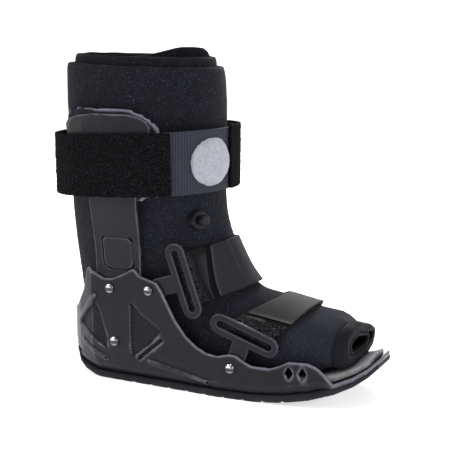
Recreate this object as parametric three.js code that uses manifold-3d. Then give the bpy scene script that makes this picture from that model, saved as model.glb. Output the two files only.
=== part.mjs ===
// Medical walking boot, short height, for the left or right leg.
// Millimetres. +X points to the toe, +Z up, and the origin lies on the flat of the sole.
// The near side (-Y) and the far side (+Y) carry the same hard parts.

import * as THREE from 'three';
import { mergeVertices } from 'three/addons/utils/BufferGeometryUtils.js';
import Module from 'manifold-3d';

const wasm = await Module();
wasm.setup();

// Driving dimensions

const CLEARANCE = 0.3;          // gap between pieces that touch

const SOLE_LENGTH = 293;        // heel to toe tip
const HEEL_SETBACK = 143;       // heel behind the origin
const SOLE_WIDTH = 110;         // at the ball of the foot
const ANKLE_WIDTH = 110;        // across the shell's ankle walls
const ANKLE_WALL_HEIGHT = 105;  // highest point of the shell
const TOE_LIFT = 41;            // top of the toe tip above the floor
const SHELL_WALL = 3.2;
const SHELL_FLOOR = 4.6;        // shell plate between outsole and insole
const OUTSOLE_THICKNESS = 4.4;
const OUTSOLE_INSET = 0.5;      // outsole edge inside the shell's edge
const TREAD_DEPTH = 2;
const TREAD_WIDTH = 3;
const TREAD_PITCH = 18;
const TREAD_ROWS = 9;
const INSOLE_THICKNESS = 5;
const TOE_EDGE = 2.4;           // shell edge round the toe
const TOE_BEVEL = 6;            // width of the sloping band round the toe
const RECESS_DEPTH = 1.4;
const RIDGE_HEIGHT = 1.3;
const GROOVE_DEPTH = 2.6;

const CUFF_OVERHANG = 7;        // back of the cuff behind the heel
const TOE_REACH = 22;           // sole tip in front of the toe opening
const LINER_HEIGHT = 283;
const INSTEP_HEIGHT = 114;      // liner's instep under the ankle strap
const LINER_REST = 1;           // liner above the footbed
const LINER_WIDTH = 110;        // across the cuff
const LINER_SIDE_GAP = 3;       // liner inside the uprights at the ankle
const LINER_WALL = 6.5;
const LAYER_WALL = 5;           // inner layer and the far overlap
const INNER_LAYER_HEIGHT = 8;   // inner layer above the outer one
const OVERLAP_HEIGHT = 15;      // far overlap above the outer one
const LIP_ROUNDING = 1.4;       // rolled top edge of the liner
const LAYER_ROUNDING = 1;
const BINDING_RISE = 1;         // tape above the cloth that it binds

const UPRIGHT_WIDTH = 45;
const UPRIGHT_THICKNESS = 4.2;
const UPRIGHT_BASE = 42;        // lower end, hidden behind the shell
const PADDLE_WIDTH = 87;
const PADDLE_TOP = 239;
const PAD_TOP = 246;
const PAD_BOTTOM = 164;
const PAD_WIDTH = 96;
const PAD_THICKNESS = 5.4;
const PAD_SEAT = 1.6;           // pad above the liner
const LOCK_TAB_WIDTH = 28;
const LOCK_TAB_HEIGHT = 27;
const LOCK_TAB_RISE = 1.2;
const LOCK_GROOVE = 1.6;
const LOCK_TAB_LEVEL = 1.12;    // middle of the tab, as a share of the ankle wall height

const CALF_STRAP_WIDTH = 54;
const CALF_STRAP_CENTRE = 199;
const PILE_THICKNESS = 3.2;
const WEBBING_THICKNESS = 2;
const CALF_WRAP_EASE = 2.2;     // strap path outside the liner, at the front and back
const STRAP_EDGE = 0.8;         // rounding of a band's outer edges
const CALF_STRAP_DROP = 7;      // the strap's back lies lower than its front
const PUMP_DIAMETER = 46;
const PUMP_HEIGHT = 8;
const PUMP_RIM = 1.6;           // height of the disc's upright edge
const PUMP_SAG = 3.4;           // depth to which the edge follows the curved strap
const VALVE_FLANGE_DIAMETER = 17;
const VALVE_FLANGE_HEIGHT = 2.6;
const VALVE_KNOB_DIAMETER = 9.6;
const VALVE_KNOB_LENGTH = 10;
const VALVE_TRAVEL = 2;
const VALVE_STEM_DIAMETER = 6;
const VALVE_SEAT = 3.2;         // foot of the button's hole above the liner
const VALVE_TURN = 22;          // degrees that the moulded seat turns the button to the front

const LOOP_THICKNESS = 3.4;
const LOOP_FRAME = 6;           // width of the loop's frame round its slot
const STRAP_THICKNESS = 1.8;
const LOOP_TAB_RADIUS = 6.5;    // round end under the rivet
const LOOP_NECK_RADIUS = 8;
const SLOT_RADIUS = 3;          // half width of the slot
const STRAP_LIFT = 1.5;         // strap above the liner
const FLAP_LIFT = 3.9;          // folded-back end above the liner

const RIVET_DIAMETER = 9;
const RIVET_DOME = 2.6;
const RIVET_SHANK = 4.2;
const RIVET_REACH = 2;          // shank past the wall's inner face
const RIVET_SIDES = 10;

// Sizes that follow from the others

const LINER_BACK = -HEEL_SETBACK - CUFF_OVERHANG;
const LINER_LENGTH = SOLE_LENGTH + CUFF_OVERHANG - TOE_REACH; // to the toe opening
const LINER_FOOT = OUTSOLE_THICKNESS + SHELL_FLOOR + INSOLE_THICKNESS + 2 * CLEARANCE + LINER_REST;
const FOOT_WIDTH = ANKLE_WIDTH - 2 * (SHELL_WALL + UPRIGHT_THICKNESS + LINER_SIDE_GAP + 2 * CLEARANCE);

const NEAR = -1;
const FAR = 1;
const SIDES = [['near', NEAR], ['far', FAR]];

// Materials

function material(color, roughness, metalness = 0) {
  return new THREE.MeshStandardMaterial({ color, roughness, metalness });
}

const shellPlastic = material(0x1c1d20, 0.38);
const soleRubber = material(0x121214, 0.75);
const insoleFoam = material(0x54575c, 0.9);
const linerCloth = material(0x15171f, 0.92);
const layerCloth = material(0x111318, 0.92);
const bindingCloth = material(0x0d0e12, 0.85);
const padFoam = material(0x6a6d78, 0.9);
const pileCloth = material(0x07070a, 0.98);
const webbingCloth = material(0x2a3040, 0.85);
const flapCloth = material(0x191b20, 0.7);
const pumpFelt = material(0x9fa0ab, 0.95);
const rivetMetal = material(0xc4c6ca, 0.2, 1);

// Small helpers

const lerp = THREE.MathUtils.lerp;
const smoothstep = THREE.MathUtils.smoothstep;
const degToRad = THREE.MathUtils.degToRad;

function range(first, last, steps) {
  return Array.from({ length: steps + 1 }, (_, i) => lerp(first, last, i / steps));
}

// A value read off a table of rows, straight between them.
function readTable(rows, key, value, at) {
  if (at <= rows[0][key]) return rows[0][value];
  for (let i = 1; i < rows.length; i += 1) {
    if (at <= rows[i][key]) {
      const share = (at - rows[i - 1][key]) / (rows[i][key] - rows[i - 1][key]);
      return lerp(rows[i - 1][value], rows[i][value], share);
    }
  }
  return rows[rows.length - 1][value];
}

// The same with a smooth curve through the rows.
function readCurve(rows, key, value, at) {
  const last = rows.length - 1;
  let i = 0;
  while (i < last - 1 && at > rows[i + 1][key]) i += 1;
  const slope = (a, b) => (rows[b][value] - rows[a][value]) / (rows[b][key] - rows[a][key]);
  const span = rows[i + 1][key] - rows[i][key];
  const m0 = slope(Math.max(i - 1, 0), i + 1) * span;
  const m1 = slope(i, Math.min(i + 2, last)) * span;
  const t = THREE.MathUtils.clamp((at - rows[i][key]) / span, 0, 1);
  const t2 = t * t;
  const t3 = t2 * t;
  return (2 * t3 - 3 * t2 + 1) * rows[i][value] + (t3 - 2 * t2 + t) * m0
    + (3 * t2 - 2 * t3) * rows[i + 1][value] + (t3 - t2) * m1;
}

function meshVolume(positions, index) {
  let volume = 0;
  const [a, b, c] = [new THREE.Vector3(), new THREE.Vector3(), new THREE.Vector3()];
  for (let i = 0; i < index.length; i += 3) {
    a.fromArray(positions, 3 * index[i]);
    b.fromArray(positions, 3 * index[i + 1]);
    c.fromArray(positions, 3 * index[i + 2]);
    volume += a.dot(b.cross(c));
  }
  return volume;
}

function buildGeometry(points, triangles) {
  const positions = points.flatMap((p) => [p.x, p.y, p.z]);
  let index = triangles.flat();
  if (meshVolume(positions, index) < 0) index = triangles.map(([a, b, c]) => [a, c, b]).flat();
  const geometry = new THREE.BufferGeometry();
  geometry.setAttribute('position', new THREE.Float32BufferAttribute(positions, 3));
  geometry.setIndex(index);
  return geometry;
}

function joinRings(first, second, count, triangles) {
  for (let j = 0; j < count; j += 1) {
    const k = (j + 1) % count;
    triangles.push([first + j, first + k, second + k], [first + j, second + k, second + j]);
  }
}

function capRing(ring, offset, triangles, reverse) {
  const box = new THREE.Box3().setFromPoints(ring).getSize(new THREE.Vector3());
  const flat = box.x <= box.y && box.x <= box.z ? ['y', 'z'] : box.z <= box.y ? ['x', 'y'] : ['x', 'z'];
  const outline = ring.map((p) => new THREE.Vector2(p[flat[0]], p[flat[1]]));
  const clockwise = THREE.ShapeUtils.isClockWise(outline);
  const order = ring.map((_, i) => (clockwise ? ring.length - 1 - i : i));
  const faces = THREE.ShapeUtils.triangulateShape(order.map((i) => outline[i]), []);
  for (const face of faces) {
    const [a, b, c] = face.map((i) => order[i] + offset);
    triangles.push(reverse === clockwise ? [a, c, b] : [a, b, c]);
  }
}

// A closed body through rings of points, capped at both ends.
function loft(rings) {
  const count = rings[0].length;
  const triangles = [];
  for (let i = 0; i + 1 < rings.length; i += 1) joinRings(i * count, (i + 1) * count, count, triangles);
  capRing(rings[0], 0, triangles, false);
  capRing(rings[rings.length - 1], (rings.length - 1) * count, triangles, true);
  return buildGeometry(rings.flat(), triangles);
}

// A tube with a wall, open at both ends: outer rings out, inner rings back.
function openTube(outer, inner) {
  const rings = [...outer, ...inner.slice().reverse()];
  const count = rings[0].length;
  const triangles = [];
  rings.forEach((_, i) => joinRings(i * count, ((i + 1) % rings.length) * count, count, triangles));
  return buildGeometry(rings.flat(), triangles);
}

function toSolid(geometry) {
  const bare = geometry.clone();
  bare.deleteAttribute('normal');
  bare.deleteAttribute('uv');
  const merged = mergeVertices(bare, 1e-4);
  return new wasm.Manifold(new wasm.Mesh({
    numProp: 3,
    vertProperties: new Float32Array(merged.attributes.position.array),
    triVerts: new Uint32Array(merged.index.array),
  }));
}

function toGeometry(solid) {
  const mesh = solid.getMesh();
  const geometry = new THREE.BufferGeometry();
  geometry.setAttribute('position', new THREE.Float32BufferAttribute(mesh.vertProperties, 3));
  geometry.setIndex(Array.from(mesh.triVerts));
  return geometry;
}

function largestPiece(solid) {
  return solid.decompose().reduce((best, piece) => (piece.volume() > best.volume() ? piece : best));
}

// An outline in the side view (x, z), carried across from one y to another.
function sidePrism(points, yFrom, yTo, holes = []) {
  const shape = new THREE.Shape(points.map(([x, z]) => new THREE.Vector2(x, z)));
  for (const hole of holes) shape.holes.push(new THREE.Path(hole.map(([x, z]) => new THREE.Vector2(x, z))));
  const geometry = new THREE.ExtrudeGeometry(shape, { depth: Math.abs(yTo - yFrom), bevelEnabled: false });
  geometry.rotateX(Math.PI / 2);
  geometry.translate(0, Math.max(yFrom, yTo), 0);
  return geometry;
}

// A stadium round the line from a to b, in the side view.
function stadium(a, b, radius, arcSteps = 5) {
  const angle = Math.atan2(b[1] - a[1], b[0] - a[0]);
  const end = (centre, start) => range(start, start + Math.PI, arcSteps)
    .map((t) => [centre[0] + radius * Math.cos(t), centre[1] + radius * Math.sin(t)]);
  return [...end(b, angle - Math.PI / 2), ...end(a, angle + Math.PI / 2)];
}

function circle([x, z], radius, sides = 10) {
  return range(0, 2 * Math.PI, sides).slice(1).map((t) => [x + radius * Math.cos(t), z + radius * Math.sin(t)]);
}

function mirrored(geometry, side) {
  if (side === NEAR) return geometry;
  const copy = geometry.clone().scale(1, -1, 1);
  const index = Array.from(copy.index.array);
  for (let i = 0; i < index.length; i += 3) [index[i], index[i + 1]] = [index[i + 1], index[i]];
  copy.setIndex(index);
  return copy;
}

// Shell: a tub whose height follows the rim, hollowed by a smaller tub

const soleX = (share) => share * SOLE_LENGTH - HEEL_SETBACK;

// Half widths as shares of half the sole width and half the ankle width.
const PLAN = [
  { along: 0.000, sole: 0.05, ankle: 0.14 },
  { along: 0.006, sole: 0.20, ankle: 0.33 },
  { along: 0.020, sole: 0.40, ankle: 0.49 },
  { along: 0.045, sole: 0.58, ankle: 0.67 },
  { along: 0.070, sole: 0.66, ankle: 0.80 },
  { along: 0.110, sole: 0.74, ankle: 0.94 },
  { along: 0.130, sole: 0.78, ankle: 1.00 },
  { along: 0.294, sole: 0.86, ankle: 1.00 },
  { along: 0.444, sole: 0.94, ankle: 1.00 },
  { along: 0.543, sole: 1.00, ankle: 1.00 },
  { along: 0.765, sole: 1.00, ankle: 1.00 },
  { along: 0.820, sole: 0.97, ankle: 0.97 },
  { along: 0.890, sole: 0.87, ankle: 0.87 },
  { along: 0.938, sole: 0.72, ankle: 0.72 },
  { along: 0.970, sole: 0.54, ankle: 0.54 },
  { along: 0.990, sole: 0.32, ankle: 0.32 },
  { along: 1.000, sole: 0.12, ankle: 0.12 },
];

// Underside, as shares of the toe lift.
const KEEL = [
  { along: 0.000, up: 1.150 },
  { along: 0.006, up: 0.800 },
  { along: 0.020, up: 0.420 },
  { along: 0.045, up: 0.200 },
  { along: 0.070, up: 0.100 },
  { along: 0.110, up: 0.022 },
  { along: 0.150, up: 0.000 },
  { along: 0.652, up: 0.000 },
  { along: 0.737, up: 0.060 },
  { along: 0.820, up: 0.170 },
  { along: 0.890, up: 0.320 },
  { along: 0.938, up: 0.470 },
  { along: 0.970, up: 0.620 },
  { along: 0.990, up: 0.760 },
  { along: 1.000, up: 0.870 },
];

// Top edge of the shell, as shares of the ankle wall height.
const RIM = [
  { along: 0.000, up: 0.500 },
  { along: 0.006, up: 0.550 },
  { along: 0.020, up: 0.575 },
  { along: 0.045, up: 0.600 },
  { along: 0.070, up: 0.690 },
  { along: 0.090, up: 0.780 },
  { along: 0.103, up: 0.905 },
  { along: 0.110, up: 0.965 },
  { along: 0.120, up: 0.985 },
  { along: 0.130, up: 0.955 },
  { along: 0.173, up: 0.900 },
  { along: 0.203, up: 0.905 },
  { along: 0.253, up: 0.968 },
  { along: 0.268, up: 1.000 },
  { along: 0.278, up: 0.990 },
  { along: 0.294, up: 0.943 },
  { along: 0.331, up: 0.914 },
  { along: 0.350, up: 0.895 },
  { along: 0.366, up: 0.829 },
  { along: 0.386, up: 0.724 },
  { along: 0.410, up: 0.600 },
  { along: 0.444, up: 0.476 },
  { along: 0.478, up: 0.400 },
  { along: 0.509, up: 0.357 },
  { along: 0.543, up: 0.343 },
  { along: 0.584, up: 0.371 },
  { along: 0.605, up: 0.362 },
  { along: 0.628, up: 0.324 },
  { along: 0.652, up: 0.295 },
  { along: 0.710, up: 0.295 },
  { along: 0.737, up: 0.324 },
  { along: 0.765, up: 0.365 },
  { along: 0.820, up: 0.367 },
  { along: 0.843, up: 0.340 },
  { along: 0.862, up: 0.295 },
  { along: 0.880, up: 0.235 },
  { along: 0.890, up: 0.205 },
  { along: 0.938, up: 0.255 },
  { along: 0.970, up: 0.305 },
  { along: 0.990, up: 0.355 },
  { along: 1.000, up: 0.395 },
];

const WALL_END = 0.890;         // share of the length where the side walls meet the toe
const SWEEP_FOOT = 4;           // heights between which the plan widens to the ankle's
const SWEEP_TOP = 34;
const CORNER_RADIUS = 9;        // turn of the underside into the side
const FLOOR_CORNER = 2;         // the same inside, at the floor
const OUTSOLE_CORNER = 3;

const keelAt = (x) => TOE_LIFT * readTable(KEEL, 'along', 'up', (x + HEEL_SETBACK) / SOLE_LENGTH);
const rimAt = (x) => ANKLE_WALL_HEIGHT * readTable(RIM, 'along', 'up', (x + HEEL_SETBACK) / SOLE_LENGTH);
// The outsole thins towards the toe tip.
const outsoleAt = (x) => OUTSOLE_THICKNESS * (1 - 0.5 * smoothstep(x, soleX(0.82), soleX(1)));
const shellBottomAt = (x) => keelAt(x) + outsoleAt(x) + CLEARANCE;
const floorAt = (x) => shellBottomAt(x) + SHELL_FLOOR;

function halfWidthAt(x, z) {
  const along = (x + HEEL_SETBACK) / SOLE_LENGTH;
  const sole = SOLE_WIDTH / 2 * readTable(PLAN, 'along', 'sole', along);
  const ankle = ANKLE_WIDTH / 2 * readTable(PLAN, 'along', 'ankle', along);
  return lerp(sole, ankle, smoothstep(z, SWEEP_FOOT, SWEEP_TOP));
}

// One cross-section of a tub between two heights, drawn in by an inset.
function tubSection(x, zBottom, zTop, inset, crown, corner, cornerSteps = 1, tall = false) {
  const half = [];
  const radius = Math.min(corner, (zTop - zBottom) * 0.45, halfWidthAt(x, zBottom) * 0.5);
  const widthAt = (z) => Math.max(halfWidthAt(x, z) - inset, 1);
  for (const turn of range(0, Math.PI / 2, cornerSteps)) {
    const z = zBottom + radius * (1 - Math.cos(turn));
    half.push([widthAt(z) - radius * (1 - Math.sin(turn)), z]);
  }
  const low = zBottom + radius;
  const knee = THREE.MathUtils.clamp(SWEEP_TOP, lerp(low, zTop, 0.5), lerp(low, zTop, 0.9));
  const levels = tall ? [lerp(low, knee, 0.5), knee, zTop] : [zTop];
  for (const z of levels) half.push([widthAt(z), z]);
  half.push([Math.max(widthAt(zTop) - TOE_BEVEL, 0.6), zTop + crown]);
  const near = half.map(([w, z]) => new THREE.Vector3(x, -w, z));
  const far = half.map(([w, z]) => new THREE.Vector3(x, w, z)).reverse();
  return [...near, ...far];
}

function stationsOf(tables) {
  const shares = [...new Set(tables.flatMap((rows) => rows.map((row) => row.along)))].sort((a, b) => a - b);
  return shares.map(soleX);
}

const rimStations = stationsOf([RIM, PLAN, KEEL]);
const soleStations = stationsOf([PLAN, KEEL]);

function shellOuter(inset) {
  return loft(rimStations.map((x) => {
    const bottom = shellBottomAt(x) + inset;
    const top = Math.max(rimAt(x), shellBottomAt(x) + TOE_EDGE);
    const crown = x < soleX(WALL_END) - 0.1 ? 0 : floorAt(x) - top;
    return tubSection(x, bottom, top, inset, crown, CORNER_RADIUS, 2, true);
  }));
}

function shellHollow() {
  const heelInside = soleX(0) + SHELL_WALL;
  const stations = [heelInside, heelInside + 1.5, heelInside + 5,
    ...soleStations.filter((x) => x > heelInside + 8 && x < soleX(WALL_END)), soleX(WALL_END)];
  const above = ANKLE_WALL_HEIGHT * 1.3;
  return loft(stations.map((x) => tubSection(x, floorAt(x), above, SHELL_WALL, 0, FLOOR_CORNER, 1, true)));
}

// Places on the side wall: along as a share of the sole, up as a share of the ankle wall.
const wallPoint = ({ along, up }) => [soleX(along), ANKLE_WALL_HEIGHT * up];

const REAR_PANEL = [
  { along: 0.143, up: 0.690 },
  { along: 0.156, up: 0.640 },
  { along: 0.184, up: 0.380 },
  { along: 0.180, up: 0.292 },
  { along: 0.115, up: 0.420 },
  { along: 0.066, up: 0.500 },
].map(wallPoint);

const FRONT_PANEL = [
  { along: 0.262, up: 0.730 },
  { along: 0.300, up: 0.620 },
  { along: 0.366, up: 0.500 },
  { along: 0.330, up: 0.380 },
  { along: 0.263, up: 0.240 },
].map(wallPoint);

const WALL_SLOTS = [0.766, 0.806].map((along) => ({ along, up: 0.272 }));
const SLOT_HALF_HEIGHT = 6.8;
const SLOT_CROSS = 3.6;
const SIDE_RIDGE = [{ along: 0.322, up: 0.225 }, { along: 0.514, up: 0.110 }].map(wallPoint);
const RIDGE_HALF_WIDTH = 2;
const HEEL_HOLE_RADIUS = 2.6;
const REAR_RIB = [{ along: 0.060, up: 0.470 }, { along: 0.142, up: 0.745 }].map(wallPoint);
const LOWER_RIB = [{ along: 0.086, up: 0.335 }, { along: 0.168, up: 0.200 }].map(wallPoint);
const FRONT_GROOVE = [{ along: 0.284, up: 0.235 }, { along: 0.366, up: 0.425 }].map(wallPoint);
const GROOVE_HALF_WIDTH = 1.5;
const RIB_HOLE_RADIUS = 1.7;       // hole at the lower end of a rib
const HEEL_HOLE = [{ along: 0.024, up: 0.225 }, { along: 0.062, up: 0.185 }].map(wallPoint);

// Rivets that pin the uprights and the strap loops to the walls.
const RIVETS = [
  { name: 'upright_rivet', along: 0.195, up: 0.819 },
  { name: 'lower_rivet', along: 0.208, up: 0.371 },
  { name: 'ankle_loop_rivet', along: 0.324, up: 0.829 },
  { name: 'forefoot_loop_rivet', along: 0.587, up: 0.257 },
];

function slotOutline({ along, up }) {
  const [x, z] = wallPoint({ along, up });
  const corners = [[0, -1], [0.5, -0.45], [1, 0], [0.5, 0.45], [0, 1], [-0.5, 0.45], [-1, 0], [-0.5, -0.45]];
  return corners.map(([u, v]) => [x + u * SLOT_CROSS, z + v * SLOT_HALF_HEIGHT]);
}

function makeShell() {
  const wide = SOLE_WIDTH;
  const outer = toSolid(shellOuter(0));
  const under = toSolid(shellOuter(RECESS_DEPTH));
  const proud = toSolid(shellOuter(-RIDGE_HEIGHT));
  const across = (points) => toSolid(sidePrism(points, -wide, wide));
  let shell = outer;
  for (const panel of [REAR_PANEL, FRONT_PANEL]) shell = shell.subtract(across(panel).subtract(under));
  for (const [a, b] of [SIDE_RIDGE, REAR_RIB, LOWER_RIB]) {
    shell = shell.add(proud.intersect(across(stadium(a, b, RIDGE_HALF_WIDTH, 3))));
  }
  const groove = across(stadium(FRONT_GROOVE[0], FRONT_GROOVE[1], GROOVE_HALF_WIDTH, 2));
  shell = shell.subtract(groove.subtract(toSolid(shellOuter(GROOVE_DEPTH))));
  for (const rib of [SIDE_RIDGE, LOWER_RIB]) {
    shell = shell.subtract(across(circle(rib[1], RIB_HOLE_RADIUS, 6)));
  }
  shell = shell.subtract(toSolid(shellHollow()));
  for (const slot of WALL_SLOTS) shell = shell.subtract(across(slotOutline(slot)));
  shell = shell.subtract(across(stadium(HEEL_HOLE[0], HEEL_HOLE[1], HEEL_HOLE_RADIUS, 4)));
  for (const rivet of RIVETS) {
    shell = shell.subtract(across(circle(wallPoint(rivet), RIVET_SHANK / 2 + CLEARANCE)));
  }
  return toGeometry(largestPiece(shell));
}

function makeOutsole() {
  const body = loft(soleStations.slice(1, -1).map((x) => tubSection(
    x, keelAt(x), keelAt(x) + outsoleAt(x), OUTSOLE_INSET, 0, OUTSOLE_CORNER,
  )));
  let sole = toSolid(body);
  for (let row = 0; row < TREAD_ROWS; row += 1) {
    const x = soleX(0.5) + (row - (TREAD_ROWS - 1) / 2) * TREAD_PITCH;
    const groove = new THREE.BoxGeometry(TREAD_WIDTH, SOLE_WIDTH, TREAD_DEPTH * 2);
    groove.translate(x, 0, keelAt(x));
    sole = sole.subtract(toSolid(groove));
  }
  return toGeometry(sole);
}

const INSOLE_SETBACK = 9;       // insole edge inside the toe's outline
const INSOLE_SIDE_GAP = 3;      // and inside the shell's walls
const INSOLE_ROUNDING = 0.8;
const INSOLE_HEEL = 0.045;
const INSOLE_TOE = 0.970;

function makeInsole() {
  const stations = soleStations.filter((x) => x > soleX(INSOLE_HEEL) - 0.1 && x < soleX(INSOLE_TOE) + 0.1);
  return loft(stations.map((x) => {
    const inset = lerp(SHELL_WALL + INSOLE_SIDE_GAP, INSOLE_SETBACK, smoothstep(x, soleX(0.8), soleX(0.93)));
    const bottom = floorAt(x) + CLEARANCE;
    return tubSection(x, bottom, bottom + INSOLE_THICKNESS - INSOLE_ROUNDING, inset, INSOLE_ROUNDING, 1);
  }));
}

// Liner: rings that swing round the instep, from the top of the cuff to the toe opening.
// front and back are points of the side view, with heights above the liner's underside. Heights
// and width are shares of the foot's where cuff is 0, and of the cuff's where it is 1. toe is the
// share of the toe lift that is added. square and sole shape the upper and the lower half.
const LINER_RINGS = [
  { at: 0, frontX: 0.524, frontZ: 0.979, backX: 0, backZ: 0.993,
    width: 1, cuff: 1, toe: 0, square: 2.2, sole: 2.2 },
  { at: 1, frontX: 0.533, frontZ: 0.886, backX: 0, backZ: 0.884,
    width: 1.01, cuff: 1, toe: 0, square: 2.2, sole: 2.2 },
  { at: 2, frontX: 0.533, frontZ: 0.746, backX: 0.004, backZ: 0.72,
    width: 0.973, cuff: 1, toe: 0, square: 2.2, sole: 2.2 },
  { at: 3, frontX: 0.532, frontZ: 0.615, backX: 0.008, backZ: 0.578,
    width: 0.927, cuff: 1, toe: 0, square: 2.2, sole: 2.2 },
  { at: 4, frontX: 0.533, frontZ: 0.694, backX: 0.015, backZ: 0.572,
    width: 0.957, cuff: 0.6, toe: 0, square: 2.2, sole: 2.2 },
  { at: 5, frontX: 0.549, frontZ: 0.905, backX: 0.027, backZ: 0.601,
    width: 0.995, cuff: 0.2, toe: 0, square: 2.2, sole: 2.2 },
  { at: 6, frontX: 0.585, frontZ: 0.998, backX: 0.045, backZ: 0.451,
    width: 1, cuff: 0, toe: 0, square: 2.2, sole: 2.2 },
  { at: 7, frontX: 0.63, frontZ: 0.802, backX: 0.068, backZ: 0.187,
    width: 0.95, cuff: 0, toe: 0, square: 2.2, sole: 2.2 },
  { at: 8, frontX: 0.674, frontZ: 0.716, backX: 0.115, backZ: 0.043,
    width: 0.925, cuff: 0, toe: 0, square: 2.2, sole: 2.4 },
  { at: 9, frontX: 0.717, frontZ: 0.687, backX: 0.215, backZ: 0,
    width: 0.938, cuff: 0, toe: 0, square: 2.2, sole: 3 },
  { at: 10, frontX: 0.768, frontZ: 0.647, backX: 0.431, backZ: 0,
    width: 0.963, cuff: 0, toe: 0, square: 2.2, sole: 3.4 },
  { at: 11, frontX: 0.822, frontZ: 0.606, backX: 0.594, backZ: 0,
    width: 0.988, cuff: 0, toe: 0, square: 2.2, sole: 3.6 },
  { at: 12, frontX: 0.882, frontZ: 0.544, backX: 0.755, backZ: 0,
    width: 1, cuff: 0, toe: 0.046, square: 2.3, sole: 3.6 },
  { at: 13, frontX: 0.971, frontZ: 0.391, backX: 0.96, backZ: 0,
    width: 0.938, cuff: 0, toe: 0.324, square: 2.4, sole: 3.6 },
  { at: 14, frontX: 1, frontZ: 0.331, backX: 0.998, backZ: 0,
    width: 0.9, cuff: 0, toe: 0.441, square: 2.4, sole: 3.4 },
];
const LINER_END = 14;            // the toe opening
const BINDING_FROM = 13;
const SEAM = 0.04;               // gap between liner and binding, as a share of a ring step
const LINER_SIDES = 24;

const linerX = (share) => LINER_BACK + share * LINER_LENGTH;

const ringHeight = (share, { cuff, toe }) => (
  LINER_FOOT + toe * TOE_LIFT + share * (lerp(INSTEP_HEIGHT, LINER_HEIGHT, cuff) - LINER_FOOT)
);

function linerRing(at) {
  const read = (name) => readCurve(LINER_RINGS, 'at', name, at);
  const row = { cuff: read('cuff'), toe: read('toe') };
  const front = new THREE.Vector3(linerX(read('frontX')), 0, ringHeight(read('frontZ'), row));
  const back = new THREE.Vector3(linerX(read('backX')), 0, ringHeight(read('backZ'), row));
  const axis = front.clone().sub(back);
  const reach = axis.length() / 2;
  return {
    centre: front.clone().add(back).multiplyScalar(0.5),
    axis: axis.normalize(),
    reach,
    half: read('width') * lerp(FOOT_WIDTH, LINER_WIDTH, row.cuff) / 2,
    square: read('square'),
    sole: read('sole'),
  };
}

// A point on the liner: angle 0 is the front, 90 the far side, -90 the near side.
function linerPoint(at, angle, lift) {
  const ring = linerRing(at);
  const turn = degToRad(angle);
  const power = 2 / (Math.cos(turn) >= 0 ? ring.square : ring.sole);
  const forward = Math.sign(Math.cos(turn)) * Math.abs(Math.cos(turn)) ** power;
  const sideways = Math.sign(Math.sin(turn)) * Math.abs(Math.sin(turn)) ** power;
  const point = ring.axis.clone().multiplyScalar(forward * (ring.reach + lift)).add(ring.centre);
  point.y = sideways * (ring.half + lift);
  return point;
}

const fullTurn = range(0, 360, LINER_SIDES).slice(0, -1);

function linerRings(first, last, steps, lift) {
  return range(first, last, steps).map((at) => fullTurn.map((angle) => linerPoint(at, angle, lift)));
}

const LIP_END = 0.12;            // ring where the rolled top edge ends
const LINER_STEPS = 16;

function makeLiner() {
  const end = BINDING_FROM - SEAM;
  const outer = linerRings(LIP_END, end, LINER_STEPS, 0);
  const inner = linerRings(LIP_END, end, LINER_STEPS, -LINER_WALL);
  const lip = fullTurn.map((angle) => linerPoint(0, angle, -LIP_ROUNDING));
  const innerLip = fullTurn.map((angle) => linerPoint(0, angle, -LINER_WALL + LIP_ROUNDING));
  return openTube([lip, ...outer], [innerLip, ...inner]);
}

function makeBinding() {
  const outer = [
    [BINDING_FROM, BINDING_RISE / 3], [BINDING_FROM + 0.15, BINDING_RISE],
    [LINER_END - 0.2, BINDING_RISE], [LINER_END, 0],
  ];
  const inner = outer.map(([at, lift]) => [at, -LINER_WALL - lift]);
  const ring = ([at, lift]) => fullTurn.map((angle) => linerPoint(at, angle, lift));
  return openTube(outer.map(ring), inner.map(ring));
}

function raisedRing(ring, rise) {
  return ring.map((p) => p.clone().add(new THREE.Vector3(0, 0, rise)));
}

function makeInnerLayer() {
  const outside = -LINER_WALL - 1.5 * CLEARANCE;
  const inside = outside - LAYER_WALL;
  const lipRing = (lift) => raisedRing(fullTurn.map((angle) => linerPoint(0, angle, lift)), INNER_LAYER_HEIGHT);
  const outer = linerRings(0, 2, 2, outside);
  const inner = linerRings(0, 2, 2, inside);
  const lip = lipRing(outside - LAYER_ROUNDING);
  const innerLip = lipRing(inside + LAYER_ROUNDING);
  return openTube([lip, ...outer], [innerLip, ...inner]);
}

// Top edge of the far overlap: angle round the leg, and height as a share.
const OVERLAP_EDGE = [
  { angle: 22, up: 0.45 },
  { angle: 32, up: 0.80 },
  { angle: 46, up: 1.00 },
  { angle: 60, up: 1.02 },
  { angle: 74, up: 0.98 },
  { angle: 86, up: 0.78 },
  { angle: 98, up: 0.55 },
  { angle: 112, up: 0.36 },
  { angle: 126, up: 0.25 },
];

function makeOverlap() {
  const outside = -LINER_WALL - LAYER_WALL - 4 * CLEARANCE;
  const inside = outside - LAYER_WALL;
  const edge = (at, rise, lift) => OVERLAP_EDGE.map(({ angle, up }) => (
    linerPoint(at, angle, lift).add(new THREE.Vector3(0, 0, rise * up))
  ));
  const section = (at, rise, pinch) => [
    ...edge(at, rise, outside - pinch), ...edge(at, rise, inside + pinch).reverse(),
  ];
  return loft([
    section(0, OVERLAP_HEIGHT, LAYER_ROUNDING), section(0, OVERLAP_HEIGHT - 2 * LAYER_ROUNDING, 0),
    section(0, 0, 0), section(1, 0, 0), section(1.5, 0, 0),
  ]);
}

// Uprights: a bar that widens into a paddle, curved in plan to the path of the calf strap

// The liner's ring at a height of the cuff.
function linerLevel(z) {
  const levels = LINER_RINGS.slice(0, 5).reverse().map((row) => (
    { at: row.at, height: ringHeight((row.frontZ + row.backZ) / 2, row) }
  ));
  return readTable(levels, 'height', 'at', z);
}

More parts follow.
